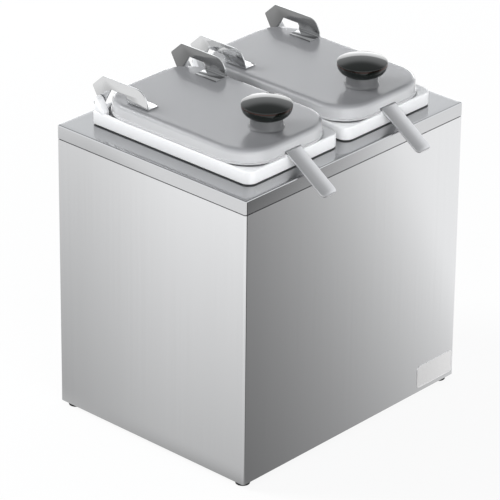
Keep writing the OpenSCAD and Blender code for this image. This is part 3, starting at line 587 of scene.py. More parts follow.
@dataclass(frozen=True)
class Moulded(Finish):
    """Moulded plastic or rubber: fine moulding texture, slight clouding, and a film of handling."""

    roughness: float = 0.3
    texture: float = 0.04
    size: float = 900.0
    glow: float = 0.0
    film: float = 0.4
    cloud: float = 0.03
    ior: float = 1.49
    film_dulls: float = 0.18
    glow_reach: float = 4.0 * MM
    texture_height: float = 0.2 * MM

    def build(self, kit: "Workshop") -> bpy.types.Material:
        """Colour clouds a little, roughness rises under the film, and a fine texture lifts the normal."""
        bench = Bench(self.name)
        cloud = bench.noise(bench.coordinates(), scale=26.0, detail=3.0)
        dulled = min(self.roughness + self.film_dulls, 1.0)
        film = bench.film(kit, 16.0, self.film)
        bench.fill(bench.shader, {
            "IOR": self.ior, "Base Color": bench.clouded(cloud, self.colour, self.cloud),
            "Roughness": bench.ranged(film, 0.0, 1.0, self.roughness, dulled)})
        if self.glow > 0:
            bench.fill(bench.shader, {"Subsurface Weight": self.glow,
                                      "Subsurface Radius": (self.glow_reach,) * 3})
        if self.texture > 0:
            skin = bench.noise(bench.coordinates(), self.size, detail=2.0)
            bench.bump(skin, self.texture, self.texture_height)
        return bench.material


@dataclass(frozen=True)
class Smoked(Finish):
    """Translucent moulded lid: its walls are painted paler than its top, painted light standing in for the
    white rim showing through.
    """

    # Painted light: the wall colour is paler than the top's to stand in for the white rim showing through.
    wall: Colour = (0.80, 0.805, 0.82)
    roughness: float = 0.22
    transmission: float = 0.4
    coat: float = 0.6
    wall_top: float = 265.6 * MM
    flat: float = 269.4 * MM
    film_dulls: float = 0.14

    def build(self, kit: "Workshop") -> bpy.types.Material:
        """The colour runs from the wall's paler colour, painted light for the white rim seen through the
        wall, to the top's over the shoulder's height; a film dulls it.
        """
        bench = Bench(self.name)
        # Painted light: the colour mixes from the paler wall to the top by height.
        rise = bench.ranged(bench.axes(bench.coordinates())["Z"], self.wall_top, self.flat, 0.0, 1.0)
        film = bench.film(kit, 16.0, 0.25)
        bench.fill(bench.shader, {
            "IOR": 1.5, "Coat Weight": self.coat, "Coat Roughness": 0.08,
            "Transmission Weight": self.transmission,
            "Base Color": bench.blend(rise, self.wall, self.colour),
            "Roughness": bench.ranged(film, 0.0, 1.0, self.roughness, self.roughness + self.film_dulls)})
        waves = bench.noise(bench.coordinates(), scale=60.0, detail=1.0)
        bench.bump(waves, 0.03, 0.4 * MM)
        return bench.material


@dataclass(frozen=True)
class Wool(Finish):
    """Mineral wool board: matted strands over soft lumps."""

    along: tuple[float, float, float] = (420.0, 90.0, 420.0)
    shade: float = 0.8

    def build(self, kit: "Workshop") -> bpy.types.Material:
        """Strands are stretched noise; colour and height follow them."""
        bench = Bench(self.name)
        strands = bench.effect(kit.grain, Vector=bench.coordinates(self.along), Fine=1.0, Coarse=1.0)
        dark = tuple(v * self.shade for v in self.colour)
        bench.fill(bench.shader, {"Roughness": 0.95,
                                  "Base Color": bench.blend(strands["Grain"], dark, self.colour)})
        bench.bump(strands["Height"], 0.6, 1.0 * MM)
        return bench.material


class Workshop:
    """Holds the shared effects, makes each finish once, and fits finished pieces to their bodies."""

    def __init__(self) -> None:
        """Builds the shared effects."""
        self.grain = grain_effect()
        self.handling = handling_effect()
        self._made: dict[str, bpy.types.Material] = {}

    def material(self, finish: Finish) -> bpy.types.Material:
        """Makes a finish's material, or hands out the one already made.

        Args:
            finish: The finish.
        Returns:
            Its material.
        """
        if finish.name not in self._made:
            self._made[finish.name] = finish.build(self)
        return self._made[finish.name]

    def fit(self, piece: bpy.types.Object, finish: Finish, body: str, node: str = "") -> None:
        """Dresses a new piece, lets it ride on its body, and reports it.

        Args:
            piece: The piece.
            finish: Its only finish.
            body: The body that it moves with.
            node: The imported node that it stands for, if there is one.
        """
        piece.data.materials.append(self.material(finish))
        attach(piece, body)
        if node:
            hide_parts(node)
        log.info("%s: %d faces", piece.name, len(piece.data.polygons))

    def redress(self, node: str, finish: Finish) -> None:
        """Gives a carried-over node's material slots a better material."""
        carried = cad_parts[node]
        if not carried.material_slots:
            carried.data.materials.append(self.material(finish))
        for slot in carried.material_slots:
            slot.material = self.material(finish)


WALL_STEEL = Brushed("brushed wall steel", "brushed_sheet", (0.76, 0.765, 0.775), (1500.0, 1500.0, 9.0),
                     (0.11, 0.17), 0.035, 0.03, 0.2)
# The cover's flat top is darkened to 0.68 of its colour: painted shade.
TOP_SHADED_COVER_STEEL = Brushed("bright cover steel", "polished_sheet", (0.61, 0.615, 0.625), (11.0, 1300.0, 1300.0),
                      (0.10, 0.17), 0.03, 0.02, 0.25, 0.68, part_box("top_cover")[1][2] - 0.9 * MM)
# The clips' inward faces are darkened to 0.35 of the colour: painted shade.
INNER_SHADED_CLIP_STEEL = Brushed("polished clip steel", "clip_steel", (0.66, 0.665, 0.67), (14.0, 700.0, 700.0),
                     (0.07, 0.13), 0.02, 0.01, 0.15, inner_shade_share=0.35)
LADLE_STEEL = Brushed("satin ladle steel", "ladle_steel", (0.70, 0.70, 0.71), (1200.0, 30.0, 30.0),
                      (0.28, 0.38), 0.05, 0.05, 0.3)
WELL_STEEL = Brushed("drawn well steel", "well_sheet", (0.58, 0.585, 0.59), (700.0, 700.0, 12.0),
                     (0.24, 0.34), 0.05, 0.03, 0.5)
PLAIN_STEEL = Brushed("mill steel", "plain_sheet", (0.52, 0.53, 0.54), (60.0, 300.0, 300.0),
                      (0.35, 0.48), 0.06, 0.04, 0.5)
FASTENER_STEEL = Brushed("fastener steel", "fastener", (0.58, 0.58, 0.59), (900.0, 900.0, 900.0),
                         (0.24, 0.36), 0.05, 0.03, 0.4)
SHEATH = Brushed("heat tinted tube", "element_sheath", (0.24, 0.21, 0.19), (240.0, 240.0, 240.0),
                 (0.40, 0.60), 0.25, 0.10, 0.6)
BRASS = Brushed("plain brass", "brass_parts", (0.66, 0.50, 0.24), (500.0, 40.0, 500.0),
                (0.25, 0.36), 0.06, 0.04, 0.4)
COPPER = Brushed("dull copper", "copper_parts", (0.60, 0.30, 0.19), (400.0, 400.0, 400.0),
                 (0.30, 0.44), 0.10, 0.04, 0.5)
COPPER_RING = Brushed("copper seam", "copper_ring", (0.13, 0.055, 0.045), (300.0, 300.0, 300.0),
                      (0.18, 0.26), 0.04, 0.0, 0.1)
JAR_WHITE = Moulded("white jar plastic", "jar_white", (0.90, 0.905, 0.915), 0.28, 0.03, 1100.0,
                    glow=0.12, film=0.3, cloud=0.012)
LIT_WALL_LID_GREY = Smoked("smoked lid plastic", "lid_grey", (0.41, 0.415, 0.43))
# The boss is painted darker than the lid: painted shade standing in for the knob's shadow and dark reflection
# below it.
SHADED_BOSS_GREY = Smoked("thick lid plastic", "lid_grey", (0.20, 0.203, 0.21), wall=(0.2, 0.2, 0.2),
                   roughness=0.4, coat=0.0)
KNOB_BLACK = Moulded("black knob gloss", "knob_black", (0.003, 0.005, 0.004), 0.05, 0.0,
                     film=0.1, cloud=0.1, ior=1.5)
RUBBER = Moulded("foot rubber", "foot_rubber", (0.02, 0.02, 0.02), 0.75, 0.3, 1500.0, film=0.8, cloud=0.2)
CERAMIC = Moulded("off-white ceramic", "ceramic", (0.80, 0.78, 0.72), 0.5, 0.12, 900.0, film=0.6)
CONTROL_BLACK = Moulded("grained black plastic", "control_black", (0.018, 0.018, 0.02), 0.42, 0.22,
                        1700.0, film=0.6, cloud=0.12)
WIRE_RED = Moulded("lead cover", "wire_cover", (0.55, 0.05, 0.04), 0.45, 0.05, 800.0, film=0.4)
BADGE_PALE = Brushed("bare badge plate", "clip_steel", (0.97, 0.965, 0.965), (900.0, 60.0, 60.0),
                     (0.42, 0.52), 0.02, 0.02, 0.1)
DIAL_MARK = Moulded("white dial mark", "ceramic", (0.85, 0.85, 0.83), 0.5, 0.03, 900.0)
BOARD = Wool("mineral wool", "insulation", (0.74, 0.69, 0.52))


# ---------------------------------------------------------------- cabinet


@dataclass
class Cabinet:
    """The sheet metal body: a cover over the shell, and a bare badge plate on the front."""

    shop: Workshop
    skirt: float = 11.5 * MM
    sheet: float = 1.0 * MM
    bend: float = 1.1 * MM
    side_bend: float = 2.0 * MM
    collar: float = 0.9 * MM
    opening_gap: float = 0.7 * MM
    jar_pitch: float = 109.0 * MM
    badge_size: tuple[float, float] = (43.0 * MM, 19.5 * MM)

    def __post_init__(self) -> None:
        """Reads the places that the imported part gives."""
        self.low, self.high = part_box("top_cover")
        self.top = self.high[2] - self.collar
        self.middle_y = (self.low[1] + self.high[1]) / 2

    def build(self) -> None:
        """Makes and dresses the cabinet's own pieces."""
        self.build_cover()
        self.build_badge()

    def opening_plan(self, side: Side) -> RoundPlan:
        """The plan of a jar's opening in the cover.

        Args:
            side: Which jar.
        Returns:
            The plan.
        """
        low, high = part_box(f"jar_{side.word}")
        middle = (low[1] + high[1]) / 2
        inset = 4.0 * MM - self.opening_gap
        return RoundPlan((side.value * self.jar_pitch / 2, middle), (high[0] - low[0]) / 2 - inset,
                         (high[1] - low[1]) / 2 - inset, 9.7 * MM, 9.7 * MM)

    def build_cover(self) -> None:
        """The cover: a skirt bent down all round a flat top, with a collar round each opening.

        The outer edge is a quarter bend carried round the plan: inset = b (1 - cos a) and
        z = top - b (1 - sin a).
        """
        b, t, top = self.bend, self.sheet, self.top
        outer = RoundPlan((0.0, self.middle_y), (self.high[0] - self.low[0]) / 2,
                          (self.high[1] - self.low[1]) / 2, self.side_bend, self.side_bend, steps=8)
        a = np.radians(np.linspace(0, 90, 7))
        outside = np.stack([b * (1 - np.cos(a)), top - b * (1 - np.sin(a))], axis=1)
        ring = np.concatenate([
            [[5 * MM, top - t], [t + 0.6 * MM, top - t], [t + 0.15 * MM, top - t - 0.2 * MM]],
            [[t, top - t - 0.7 * MM], [t, top - self.skirt + 0.2 * MM],
             [t - 0.25 * MM, top - self.skirt], [0.25 * MM, top - self.skirt],
             [0.0, top - self.skirt + 0.25 * MM]],
            outside, [[5 * MM, top]]])
        skin = Skin().add_grid(outer.sweep(ring))
        collar = np.array([
            [-3.2 * MM, top], [-1.3 * MM, top], [-1.08 * MM, top + 0.1 * MM], [-t, top + 0.4 * MM],
            [-t, top + self.collar - 0.25 * MM], [-t + 0.25 * MM, top + self.collar],
            [-0.25 * MM, top + self.collar], [0.0, top + self.collar - 0.25 * MM],
            [0.0, top - t], [-3.2 * MM, top - t]])
        for side in Side:
            skin.add_grid(self.opening_plan(side).sweep(collar))
        cover = skin.make("cover_sheet")
        self.fill_flats(cover.data, (top, top - t))
        self.shop.fit(cover, TOP_SHADED_COVER_STEEL, "housing", "top_cover")

    @staticmethod
    def fill_flats(cover: bpy.types.Mesh, levels: Iterable[float]) -> None:
        """Fills the flat between the open loops that lie at each level.

        Args:
            cover: The cover, open at its flats.
            levels: The heights of the flats.
        """
        work = bmesh.new()
        work.from_mesh(cover)
        for level in levels:
            edges = [e for e in work.edges
                     if e.is_boundary and all(abs(v.co.z - level) < 1e-3 * MM for v in e.verts)]
            bmesh.ops.triangle_fill(work, use_beauty=True, edges=edges)
        bmesh.ops.recalc_face_normals(work, faces=work.faces)
        work.to_mesh(cover)
        work.free()
        smooth(cover)

    def build_badge(self) -> None:
        """A bare plate with round corners and a raised rim, low on the front's right."""
        low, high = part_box("outer_shell")
        width, height = self.badge_size
        x1 = high[0] - 2.6 * MM
        x0, z0 = x1 - width, low[2] + 3.6 * MM
        r = 3.2 * MM
        outline = belt([(x0 + r, z0 + r, r), (x1 - r, z0 + r, r), (x1 - r, z0 + height - r, r),
                        (x0 + r, z0 + height - r, r)], 6)
        face = low[1]
        rows, insets = [], ((0.0, -0.02), (0.0, 0.42), (0.12, 0.55), (0.75, 0.55), (0.95, 0.34))
        for inset, proud in insets:
            flat = shrink(outline, inset * MM)
            rows.append(np.stack([flat[:, 0], np.full(len(flat), face - proud * MM), flat[:, 1]], axis=1))
        badge = Skin().add_grid(np.stack(rows), capped=True).make("badge_plate")
        self.shop.fit(badge, BADGE_PALE, "housing")


# ---------------------------------------------------------------- jars, lids and ladles


@dataclass
class JarPlace:
    """One jar with its ears, its lid with clips and knob, and its ladle."""

    shop: Workshop
    side: Side
    top: float
    rim_rise: float = 0.95 * MM
    rim_height: float = 11.0 * MM
    wall: float = 2.5 * MM
    step: float = 4.0 * MM
    front_radius: float = 8.0 * MM
    rear_radius: float = 4.0 * MM
    mouth_radius: float = 26.0 * MM
    mouth_sheet: float = 2.0 * MM
    lid_gap: float = 0.35 * MM
    lid_height: float = 12.2 * MM
    lid_wall: float = 2.2 * MM
    lid_radius: float = 30.0 * MM
    lid_inset: float = 1.0 * MM
    shoulder: float = 4.0 * MM
    bead: float = 0.8 * MM
    hinge_height: float = 7.2 * MM
    hinge_from_rear: float = 4.4 * MM
    ear: float = 6.4 * MM
    clip_sheet: float = 1.2 * MM
    ladle_offset: float = -2.0 * MM
    ladle_width: float = 16.0 * MM
    ladle_sheet: float = 1.5 * MM
    tail_slope: float = 33.7
    tail_length: float = 44.4 * MM
    notch_headroom: float = 0.5 * MM
    shank_lean: float = 20.0
    knob_from_front: float = 28.5 * MM
    boss_height: float = 8.5 * MM
    knob_radius: float = 19.8 * MM
    hang_rise: float = 2.0 * MM
    hang_gap: float = 0.3 * MM
    clip_height: float = 15.1 * MM
    clip_reach: float = 49.1 * MM
    foot_length: float = 21.8 * MM
    foot_width: float = 11.0 * MM
    clip_bend: float = 2.0 * MM
    notch_height: float = 6.5 * MM
    boss_radius: float = 12.4 * MM
    boss_cove: float = 2.6 * MM
    knob_flank: float = 8.8 * MM
    knob_seam: float = 8.6 * MM
    knob_ring: float = 0.6 * MM
    knob_lip: float = 1.2 * MM
    knob_dome: float = 3.4 * MM
    knob_edge: float = 0.7 * MM

    def __post_init__(self) -> None:
        """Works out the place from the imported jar's box."""
        self.word = self.side.word
        self.jar, self.lid, self.ladle = (f"{what}_{self.word}" for what in ("jar", "lid", "ladle"))
        self.low, self.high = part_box(self.jar)
        self.x = (self.low[0] + self.high[0]) / 2
        self.front, self.rear = self.low[1], self.high[1]
        self.rim_z = self.top + self.rim_rise
        self.rim_top = self.rim_z + self.rim_height
        self.lid_z = self.rim_top + self.lid_gap
        self.lid_top = self.lid_z + self.lid_height
        self.hinge = (self.rear - self.hinge_from_rear, self.rim_top + self.hinge_height)
        self.lid_front = self.front + self.lid_inset
        self.fold = (self.front + self.wall / 2, self.rim_top - 0.7 * MM)
        slope = math.radians(self.tail_slope)
        self.fold_inner = (self.wall / 2 * math.sin(slope) + self.hang_rise * math.cos(slope)
                           + self.hang_gap)
        self.half_width = (self.high[0] - self.low[0]) / 2

    def build(self) -> None:
        """Makes and dresses everything at this place."""
        self.build_jar()
        self.build_lid()
        self.build_clips()
        self.build_knob()
        self.build_ladle()

    # -- jar

    def rim_plan(self) -> RoundPlan:
        """The plan of the rim band's outside."""
        return RoundPlan((self.x, (self.front + self.rear) / 2), self.half_width,
                         (self.rear - self.front) / 2, self.front_radius, self.rear_radius, steps=14)

    def build_jar(self) -> None:
        """The jar: one closed profile from the inside floor, over the rim and down to the bottom.

        The rim's top is a half round, (inset, z) = (w/2 (1 - cos a), top - w/2 (1 - sin a)), and the
        corner radius grows from the band's to the mouth's as the half round crosses it.
        """
        s, w, z0, z1 = self.step, self.wall, self.rim_z, self.rim_top
        floor, bottom = self.low[2] + w, self.low[2]
        r = w / 2
        under = z1 - self.mouth_sheet
        wide = self.mouth_radius - (self.front_radius - w)
        a = np.radians(np.linspace(0, 180, 13))
        grown = wide * np.clip((1 - np.cos(a)) / 2, 0, 1) ** 2
        over = np.stack([r - r * np.cos(a), z1 - r + r * np.sin(a), grown], axis=1)[::-1]
        e = 5.0 * MM
        inside = s + w
        floor_arc = arc((inside + e, floor + e), e, 270, 180, 6)
        foot_arc = arc((s + e, bottom + e), e, 180, 270, 6)
        body = 5.0 * MM
        rows = np.concatenate([
            np.c_[floor_arc, np.full(7, body)],
            [[inside, z0 + w - 1.2 * MM, body], [inside - 0.4 * MM, z0 + w - 0.3 * MM, body - 0.5 * MM],
             [inside - 1.2 * MM, z0 + w, 3 * MM], [w + 1.0 * MM, z0 + w, 0.4 * MM],
             [w + 0.25 * MM, z0 + w + 0.3 * MM, 0.0], [w, z0 + w + 1.2 * MM, 0.0],
             [w, under - 0.4 * MM, 0.0], [w, under, 0.4 * MM], [w, under, wide - 0.3 * MM],
             [w, under + 0.3 * MM, wide]],
            over,
            [[0.0, z0 + 0.5 * MM, 0.0], [0.12 * MM, z0 + 0.12 * MM, 0.0], [0.5 * MM, z0, 0.0],
             [s, z0, body]],
            np.c_[foot_arc, np.full(7, body)]])
        grid = self.rim_plan().sweep(rows)
        tub = Skin().add_grid(grid, capped=True).make(f"jar_tub_{self.word}")
        self.shop.fit(tub, JAR_WHITE, self.jar, self.jar)
        for end in (-1, 1):
            self.build_ear(end)
        self.build_pad()

    def build_ear(self, end: int) -> None:
        """An ear: a belt round the pin's boss and its foot, kept inside the rim's rear corner.

        Across the ear, x is drawn in to cx + sqrt(r^2 - (y - cy)^2) where the corner turns.

        Args:
            end: -1 for the ear on the jar's left, 1 for its right.
        """
        y, z = self.hinge
        r = self.hinge_from_rear
        base = self.rim_top - 1.6 * MM
        toe = self.rear - 13.5 * MM
        outline = belt([(self.rear, base, 0.0), (y, z, r), (toe, self.rim_top + 0.4 * MM, 0.0),
                        (toe, base, 0.0)], 14)
        inner = self.half_width - self.ear
        edge = 0.6 * MM
        turns = np.radians(np.linspace(0, 90, 4))
        whole = [5.0 * MM]
        insets = np.concatenate([whole, edge * (1 - np.sin(turns)), edge * (1 - np.cos(turns)), whole])
        offs = np.concatenate([[inner], inner + edge * (1 - np.cos(turns)),
                               self.half_width - edge * (1 - np.sin(turns)), [self.half_width]])
        centre = np.array([y - 1.5 * MM, (z + base) / 2])
        rings = np.zeros((len(insets), len(outline), 3))
        for row, (inset, off) in enumerate(zip(insets, offs)):
            flat = centre + (outline - centre) * 0.35 if inset > 1 * MM else shrink(outline, inset)
            rings[row, :, 0], rings[row, :, 1], rings[row, :, 2] = off, flat[:, 0], flat[:, 1]
        corner_x, corner_y = self.half_width - self.rear_radius, self.rear - self.rear_radius
        past = np.clip(rings[..., 1] - corner_y, 0, self.rear_radius)
        limit = corner_x + np.sqrt(np.maximum(self.rear_radius**2 - past**2, 0))
        rings[..., 0] = np.minimum(rings[..., 0], limit)
        rings[..., 0] = self.x + end * rings[..., 0]
        place = "outer" if end == self.side.value else "inner"
        ear = Skin().add_grid(rings, capped=True).make(f"jar_ear_{place}_{self.word}")
        self.shop.fit(ear, JAR_WHITE, self.jar)

    def build_pad(self) -> None:
        """The low pad on the front rim that the ladle hangs over."""
        x0 = self.x + self.ladle_offset - self.ladle_width / 2
        x1 = x0 + self.ladle_width
        z0, z1 = self.rim_top - 1.5 * MM, self.rim_top + 1.3 * MM
        r = 0.5 * MM
        outline = belt([(x0, z0, 0.0), (x1, z0, 0.0), (x1 - r, z1 - r, r), (x0 + r, z1 - r, r)], 4)
        pad = plate(outline, self.front + 0.15 * MM, self.front + self.wall - 0.1 * MM, 0.4 * MM,
                    Lay.XZ).make(f"ladle_pad_{self.word}")
        self.shop.fit(pad, JAR_WHITE, self.jar)

    # -- lid

    def build_lid(self) -> None:
        """The lid: one profile from the roof's underside, round the foot's bead, to the flat top.

        The shoulder is a quarter round, (inset, z) = (s (1 - cos a), top - s (1 - sin a)). Where the
        ladle passes under the front wall, every row below the notch is raised to the notch's top.
        """
        z0, z1, w, s, b = self.lid_z, self.lid_top, self.lid_wall, self.shoulder, self.bead
        a = np.radians(np.linspace(0, 90, 9))
        roof = z1 - w
        inner_r = 2.2 * MM
        inner = np.stack([w + inner_r * (1 - np.cos(a)), roof - inner_r * (1 - np.sin(a))], axis=1)[::-1]
        notch_low = self.fold[1] + self.fold_inner + self.ladle_sheet + self.notch_headroom
        levels = np.linspace(z0 + 2.6 * MM, z1 - s - 0.5 * MM, 4)
        walls = [[0.0, float(level)] for level in levels]
        profile = np.concatenate([
            [[14 * MM, roof]], inner, [[w, notch_low + 0.3 * MM], [w, notch_low], [w, z0 + 0.25 * MM],
            [w - 0.25 * MM, z0], [0.2 * MM, z0], [-b + 0.3 * MM, z0], [-b, z0 + 0.3 * MM],
            [-b, z0 + 1.3 * MM], [-b + 0.3 * MM, z0 + 1.6 * MM], [-0.15 * MM, z0 + 1.75 * MM],
            [0.0, z0 + 2.1 * MM]], walls,
            np.stack([s * (1 - np.cos(a)), z1 - s * (1 - np.sin(a))], axis=1),
            [[7 * MM, z1], [14 * MM, z1]]])
        half = (self.rear - 4.0 * MM - self.lid_front) / 2
        notch = self.ladle_width / 2 + 1.0 * MM
        c, tiny = self.ladle_offset, 0.02 * MM
        stops = (c - notch - tiny, c - notch, c + notch, c + notch + tiny)
        plan = RoundPlan((self.x, self.lid_front + half), self.half_width - self.lid_inset, half,
                         self.lid_radius, self.lid_radius, stops, steps=20)
        grid = plan.sweep(profile)
        cols = grid.shape[1]
        inside = slice(cols - 3, cols - 1)
        bay = grid[:, inside, :]
        low = bay[..., 2] < notch_low
        bay[..., 2] = np.where(low, notch_low, bay[..., 2])
        bay[..., 1] = np.where(low, np.maximum(bay[..., 1], self.lid_front), bay[..., 1])
        lid = Skin().add_grid(grid, capped=True).make(f"lid_shell_{self.word}")
        self.shop.fit(lid, LIT_WALL_LID_GREY, self.lid, self.lid)
        self.build_boss()

    def build_boss(self) -> None:
        """The post under the knob, flared at its foot by a cove of radius c.

        The cove is (r, z) = (post + c - c cos a, c - c sin a) from the post down to the lid.
        """
        r, c, sunk = self.boss_radius, self.boss_cove, 0.25 * MM
        a = np.radians(np.linspace(0, 78, 10))
        cove = np.stack([r + c - c * np.cos(a), c - sunk - c * np.sin(a)], axis=1)
        rows = np.concatenate([
            [[0.0, self.boss_height], [r - 0.6 * MM, self.boss_height], [r, self.boss_height - 0.5 * MM]],
            [[r, self.boss_height - 2.0 * MM]], cove, [[r + c, -1.2 * MM], [0.0, -1.2 * MM]]])
        centre = (self.x, self.lid_front + self.knob_from_front, self.lid_top)
        boss = Skin().add_grid(lathe(rows, centre)).make(f"knob_boss_{self.word}")
        self.shop.fit(boss, SHADED_BOSS_GREY, self.lid)

    def build_clips(self) -> None:
        """Both hinge clips: an upright plate from one belt outline, and a foot that bends out of it."""
        z0 = self.lid_top + 0.05 * MM
        top = z0 + self.clip_height
        y, z = self.hinge
        front = y - self.clip_reach
        foot_end = front + self.foot_length
        notch_z = z0 + self.notch_height
        bend = self.clip_bend
        discs = [(y - 10.2 * MM, notch_z, 0.0), (y, z, 3.3 * MM), (y + 7.9 * MM, z0 + 4.4 * MM, 1.5 * MM),
                 (y - 2.0 * MM, top - 1.5 * MM, 1.5 * MM), (front + 12.4 * MM, top - 12.4 * MM, 12.4 * MM),
                 (front, z0 + bend, 0.0), (foot_end, z0 + bend, 0.0), (foot_end, notch_z - 1.6 * MM, 0.0),
                 (foot_end + 1.6 * MM, notch_z, 0.0)]
        outline = belt(discs, 16)
        for end, place in ((self.side.value, "outer"), (-self.side.value, "inner")):
            outer = self.half_width - self.ear - 0.5 * MM
            inner = outer - self.clip_sheet
            low, high = sorted((self.x + end * inner, self.x + end * outer))
            skin = plate(outline, low, high, 0.18 * MM, Lay.YZ)
            self.add_foot(skin, end, inner, outer, (front, foot_end), z0)
            clip = skin.make(f"clip_plate_{place}_{self.word}")
            self.mark_inner_shade(clip.data, -end)
            self.shop.fit(clip, INNER_SHADED_CLIP_STEEL, self.lid, f"clip_{place}_{self.word}")

    @staticmethod
    def mark_inner_shade(clip: bpy.types.Mesh, towards: int) -> None:
        """Marks a clip's faces that look inwards: m = 2 (n . x) - 0.6, kept within 0 and 1; the mark darkens
        them as painted shade.

        Args:
            clip: The clip's mesh.
            towards: 1 where inwards is along X, -1 where it is against it.
        """
        normals = np.empty(3 * len(clip.polygons))
        clip.polygons.foreach_get("normal", normals)
        mark = clip.attributes.new("painted_inner_shade", "FLOAT", "FACE")
        mark.data.foreach_set("value", np.clip(2.0 * towards * normals[::3] - 0.6, 0.0, 1.0))

    def add_foot(self, skin: Skin, end: int, inner: float, outer: float, span: tuple[float, float],
                 z0: float) -> None:
        """Adds a clip's foot: the sheet's section follows a quarter bend and then lies flat.

        Args:
            skin: The clip's skin.
            end: Which way the clip faces.
            inner: The plate's inner face, from the jar's middle.
            outer: The plate's outer face, from the jar's middle.
            span: The foot's front and rear ends.
            z0: Height of the foot's underside.
        """
        t, bend, (front, back) = self.clip_sheet, self.clip_bend, span
        outside = arc((outer - bend, z0 + bend), bend, 0, -90, 6)
        inside = arc((outer - bend, z0 + bend), bend - t, -90, 0, 6)
        tip = outer - t - self.foot_width
        soft, root = 0.2 * MM, z0 + bend + 0.3 * MM
        section = np.concatenate([[[outer, root]], outside, [[tip + soft, z0]], [[tip, z0 + soft],
                                  [tip, z0 + t - soft], [tip + soft, z0 + t]], inside, [[inner, root]]])
        rings = np.zeros((4, len(section), 3))
        middle = section.mean(axis=0)
        ends = ((front, soft), (front + soft, 0.0), (back - soft, 0.0), (back, soft))
        for row, (at, inset) in enumerate(ends):
            shape = section - np.sign(section - middle) * inset * 0.5
            rings[row, :, 0] = self.x + end * shape[:, 0]
            rings[row, :, 1] = at
            rings[row, :, 2] = shape[:, 1]
        skin.add_grid(rings, capped=True)

    def build_knob(self) -> None:
        """The knob: a rounded flank up to the copper seam, an upright lip and a low dome.

        Flank: (r, z) = (R - f + f cos a, h - f sin a). Dome: z = lip + d - S + sqrt(S^2 - r^2), part
        of a ball of radius S = (R^2 + d^2) / 2 d, drawn in a little at the lip.
        """
        radius, flank, seam, ring = self.knob_radius, self.knob_flank, self.knob_seam, self.knob_ring
        lip = seam + ring + self.knob_lip
        low = math.degrees(math.asin(seam / flank))
        a = np.radians(np.linspace(low, 0, 14))
        side_rows = np.stack([radius - flank + flank * np.cos(a), seam - flank * np.sin(a)], axis=1)
        sphere = (radius**2 + self.knob_dome**2) / (2 * self.knob_dome)
        r = np.linspace(radius - self.knob_edge, 0, 22)
        cap = np.stack([r, lip + self.knob_dome - sphere + np.sqrt(sphere**2 - r**2)], axis=1)
        rows = np.concatenate([
            [[0.0, 0.0], [side_rows[0, 0] - 0.4 * MM, 0.0]], side_rows + [0, 0.05 * MM],
            [[radius - 0.15 * MM, seam + 0.1 * MM], [radius - 1.2 * MM, seam + 0.12 * MM],
             [radius - 1.2 * MM, seam + ring - 0.05 * MM], [radius - 0.2 * MM, seam + ring],
             [radius, seam + ring + 0.15 * MM], [radius, lip - 0.45 * MM],
             [radius - 0.18 * MM, lip - 0.05 * MM]], cap])
        foot = self.lid_top + self.boss_height + 0.05 * MM
        centre = (self.x, self.lid_front + self.knob_from_front, foot)
        knob = Skin().add_grid(lathe(rows, centre, 128)).make(f"knob_body_{self.word}")
        self.shop.fit(knob, KNOB_BLACK, self.lid, f"lid_knob_{self.word}")
        under, over = seam + 0.08 * MM, seam + ring - 0.03 * MM
        band = np.array([[radius - 1.3 * MM, under], [radius - 0.2 * MM, under],
                         [radius - 0.05 * MM, seam + 0.2 * MM], [radius - 0.05 * MM, seam + 0.45 * MM],
                         [radius - 0.2 * MM, over], [radius - 1.3 * MM, over]])
        copper = Skin().add_grid(lathe(band, centre, 128), closed=True).make(f"knob_seam_{self.word}")
        self.shop.fit(copper, COPPER_RING, self.lid, f"knob_ring_{self.word}")

    # -- ladle

    def build_ladle(self) -> None:
        """The ladle's strip handle along its path, and its bowl with a rolled rim."""
        slope, lean = math.radians(self.tail_slope), math.radians(self.shank_lean)
        middle = self.fold_inner + self.ladle_sheet / 2
        centre = np.array(self.fold)
        corner = 4.0 * MM
        s = np.concatenate([corner * (1 - np.cos(np.radians(np.linspace(0, 90, 9)))),
                            np.linspace(corner + 1 * MM, self.tail_length, 12)])
        tail = (centre + middle * np.array([-math.sin(slope), math.cos(slope)])
                - (self.tail_length - s)[:, None] * np.array([math.cos(slope), math.sin(slope)]))
        turn = arc(centre, middle, 90 + self.tail_slope, self.shank_lean, 18)[1:]
        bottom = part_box(f"ladle_handle_{self.word}")[0][2]
        drop = turn[-1, 1] - (bottom + self.ladle_sheet * math.sin(lean))
        reach = np.linspace(0, drop / math.cos(lean), 12)[1:]
        shank = turn[-1] + reach[:, None] * np.array([math.sin(lean), -math.cos(lean)])
        path = np.concatenate([tail, turn, shank])
        half = np.full(len(path), self.ladle_width / 2)
        inset = np.where(s < corner, corner - np.sqrt(np.maximum(corner**2 - (corner - s) ** 2, 0)), 0.0)
        half[:len(s)] -= inset
        handle = strip(path, half, self.ladle_sheet, 0.3 * MM,
                       self.x + self.ladle_offset).make(f"ladle_strip_{self.word}")
        self.shop.fit(handle, LADLE_STEEL, self.ladle, f"ladle_handle_{self.word}")
        self.build_bowl()

    def build_bowl(self) -> None:
        """The bowl: half a hollow ball, (r, z) = R (sin a, -cos a), with a rolled rim."""
        low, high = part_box(f"ladle_bowl_{self.word}")
        radius, t = (high[0] - low[0]) / 2, 1.0 * MM
        centre = ((low[0] + high[0]) / 2, (low[1] + high[1]) / 2, high[2])
        a = np.radians(np.linspace(0, 88, 22))
        outside = np.stack([radius * np.sin(a), -radius * np.cos(a)], axis=1)
        inside = np.stack([(radius - t) * np.sin(a), -(radius - t) * np.cos(a)], axis=1)[::-1]
        rim = np.array([[radius - 0.1 * MM, -0.3 * MM], [radius - 0.3 * MM, -0.05 * MM],
                        [radius - 0.7 * MM, -0.05 * MM], [radius - 0.95 * MM, -0.3 * MM]])
        rows = np.concatenate([outside, rim, inside])
        bowl = Skin().add_grid(lathe(rows, centre, 72)).make(f"ladle_cup_{self.word}")
        self.shop.fit(bowl, LADLE_STEEL, self.ladle, f"ladle_bowl_{self.word}")


# ---------------------------------------------------------------- carried-over nodes


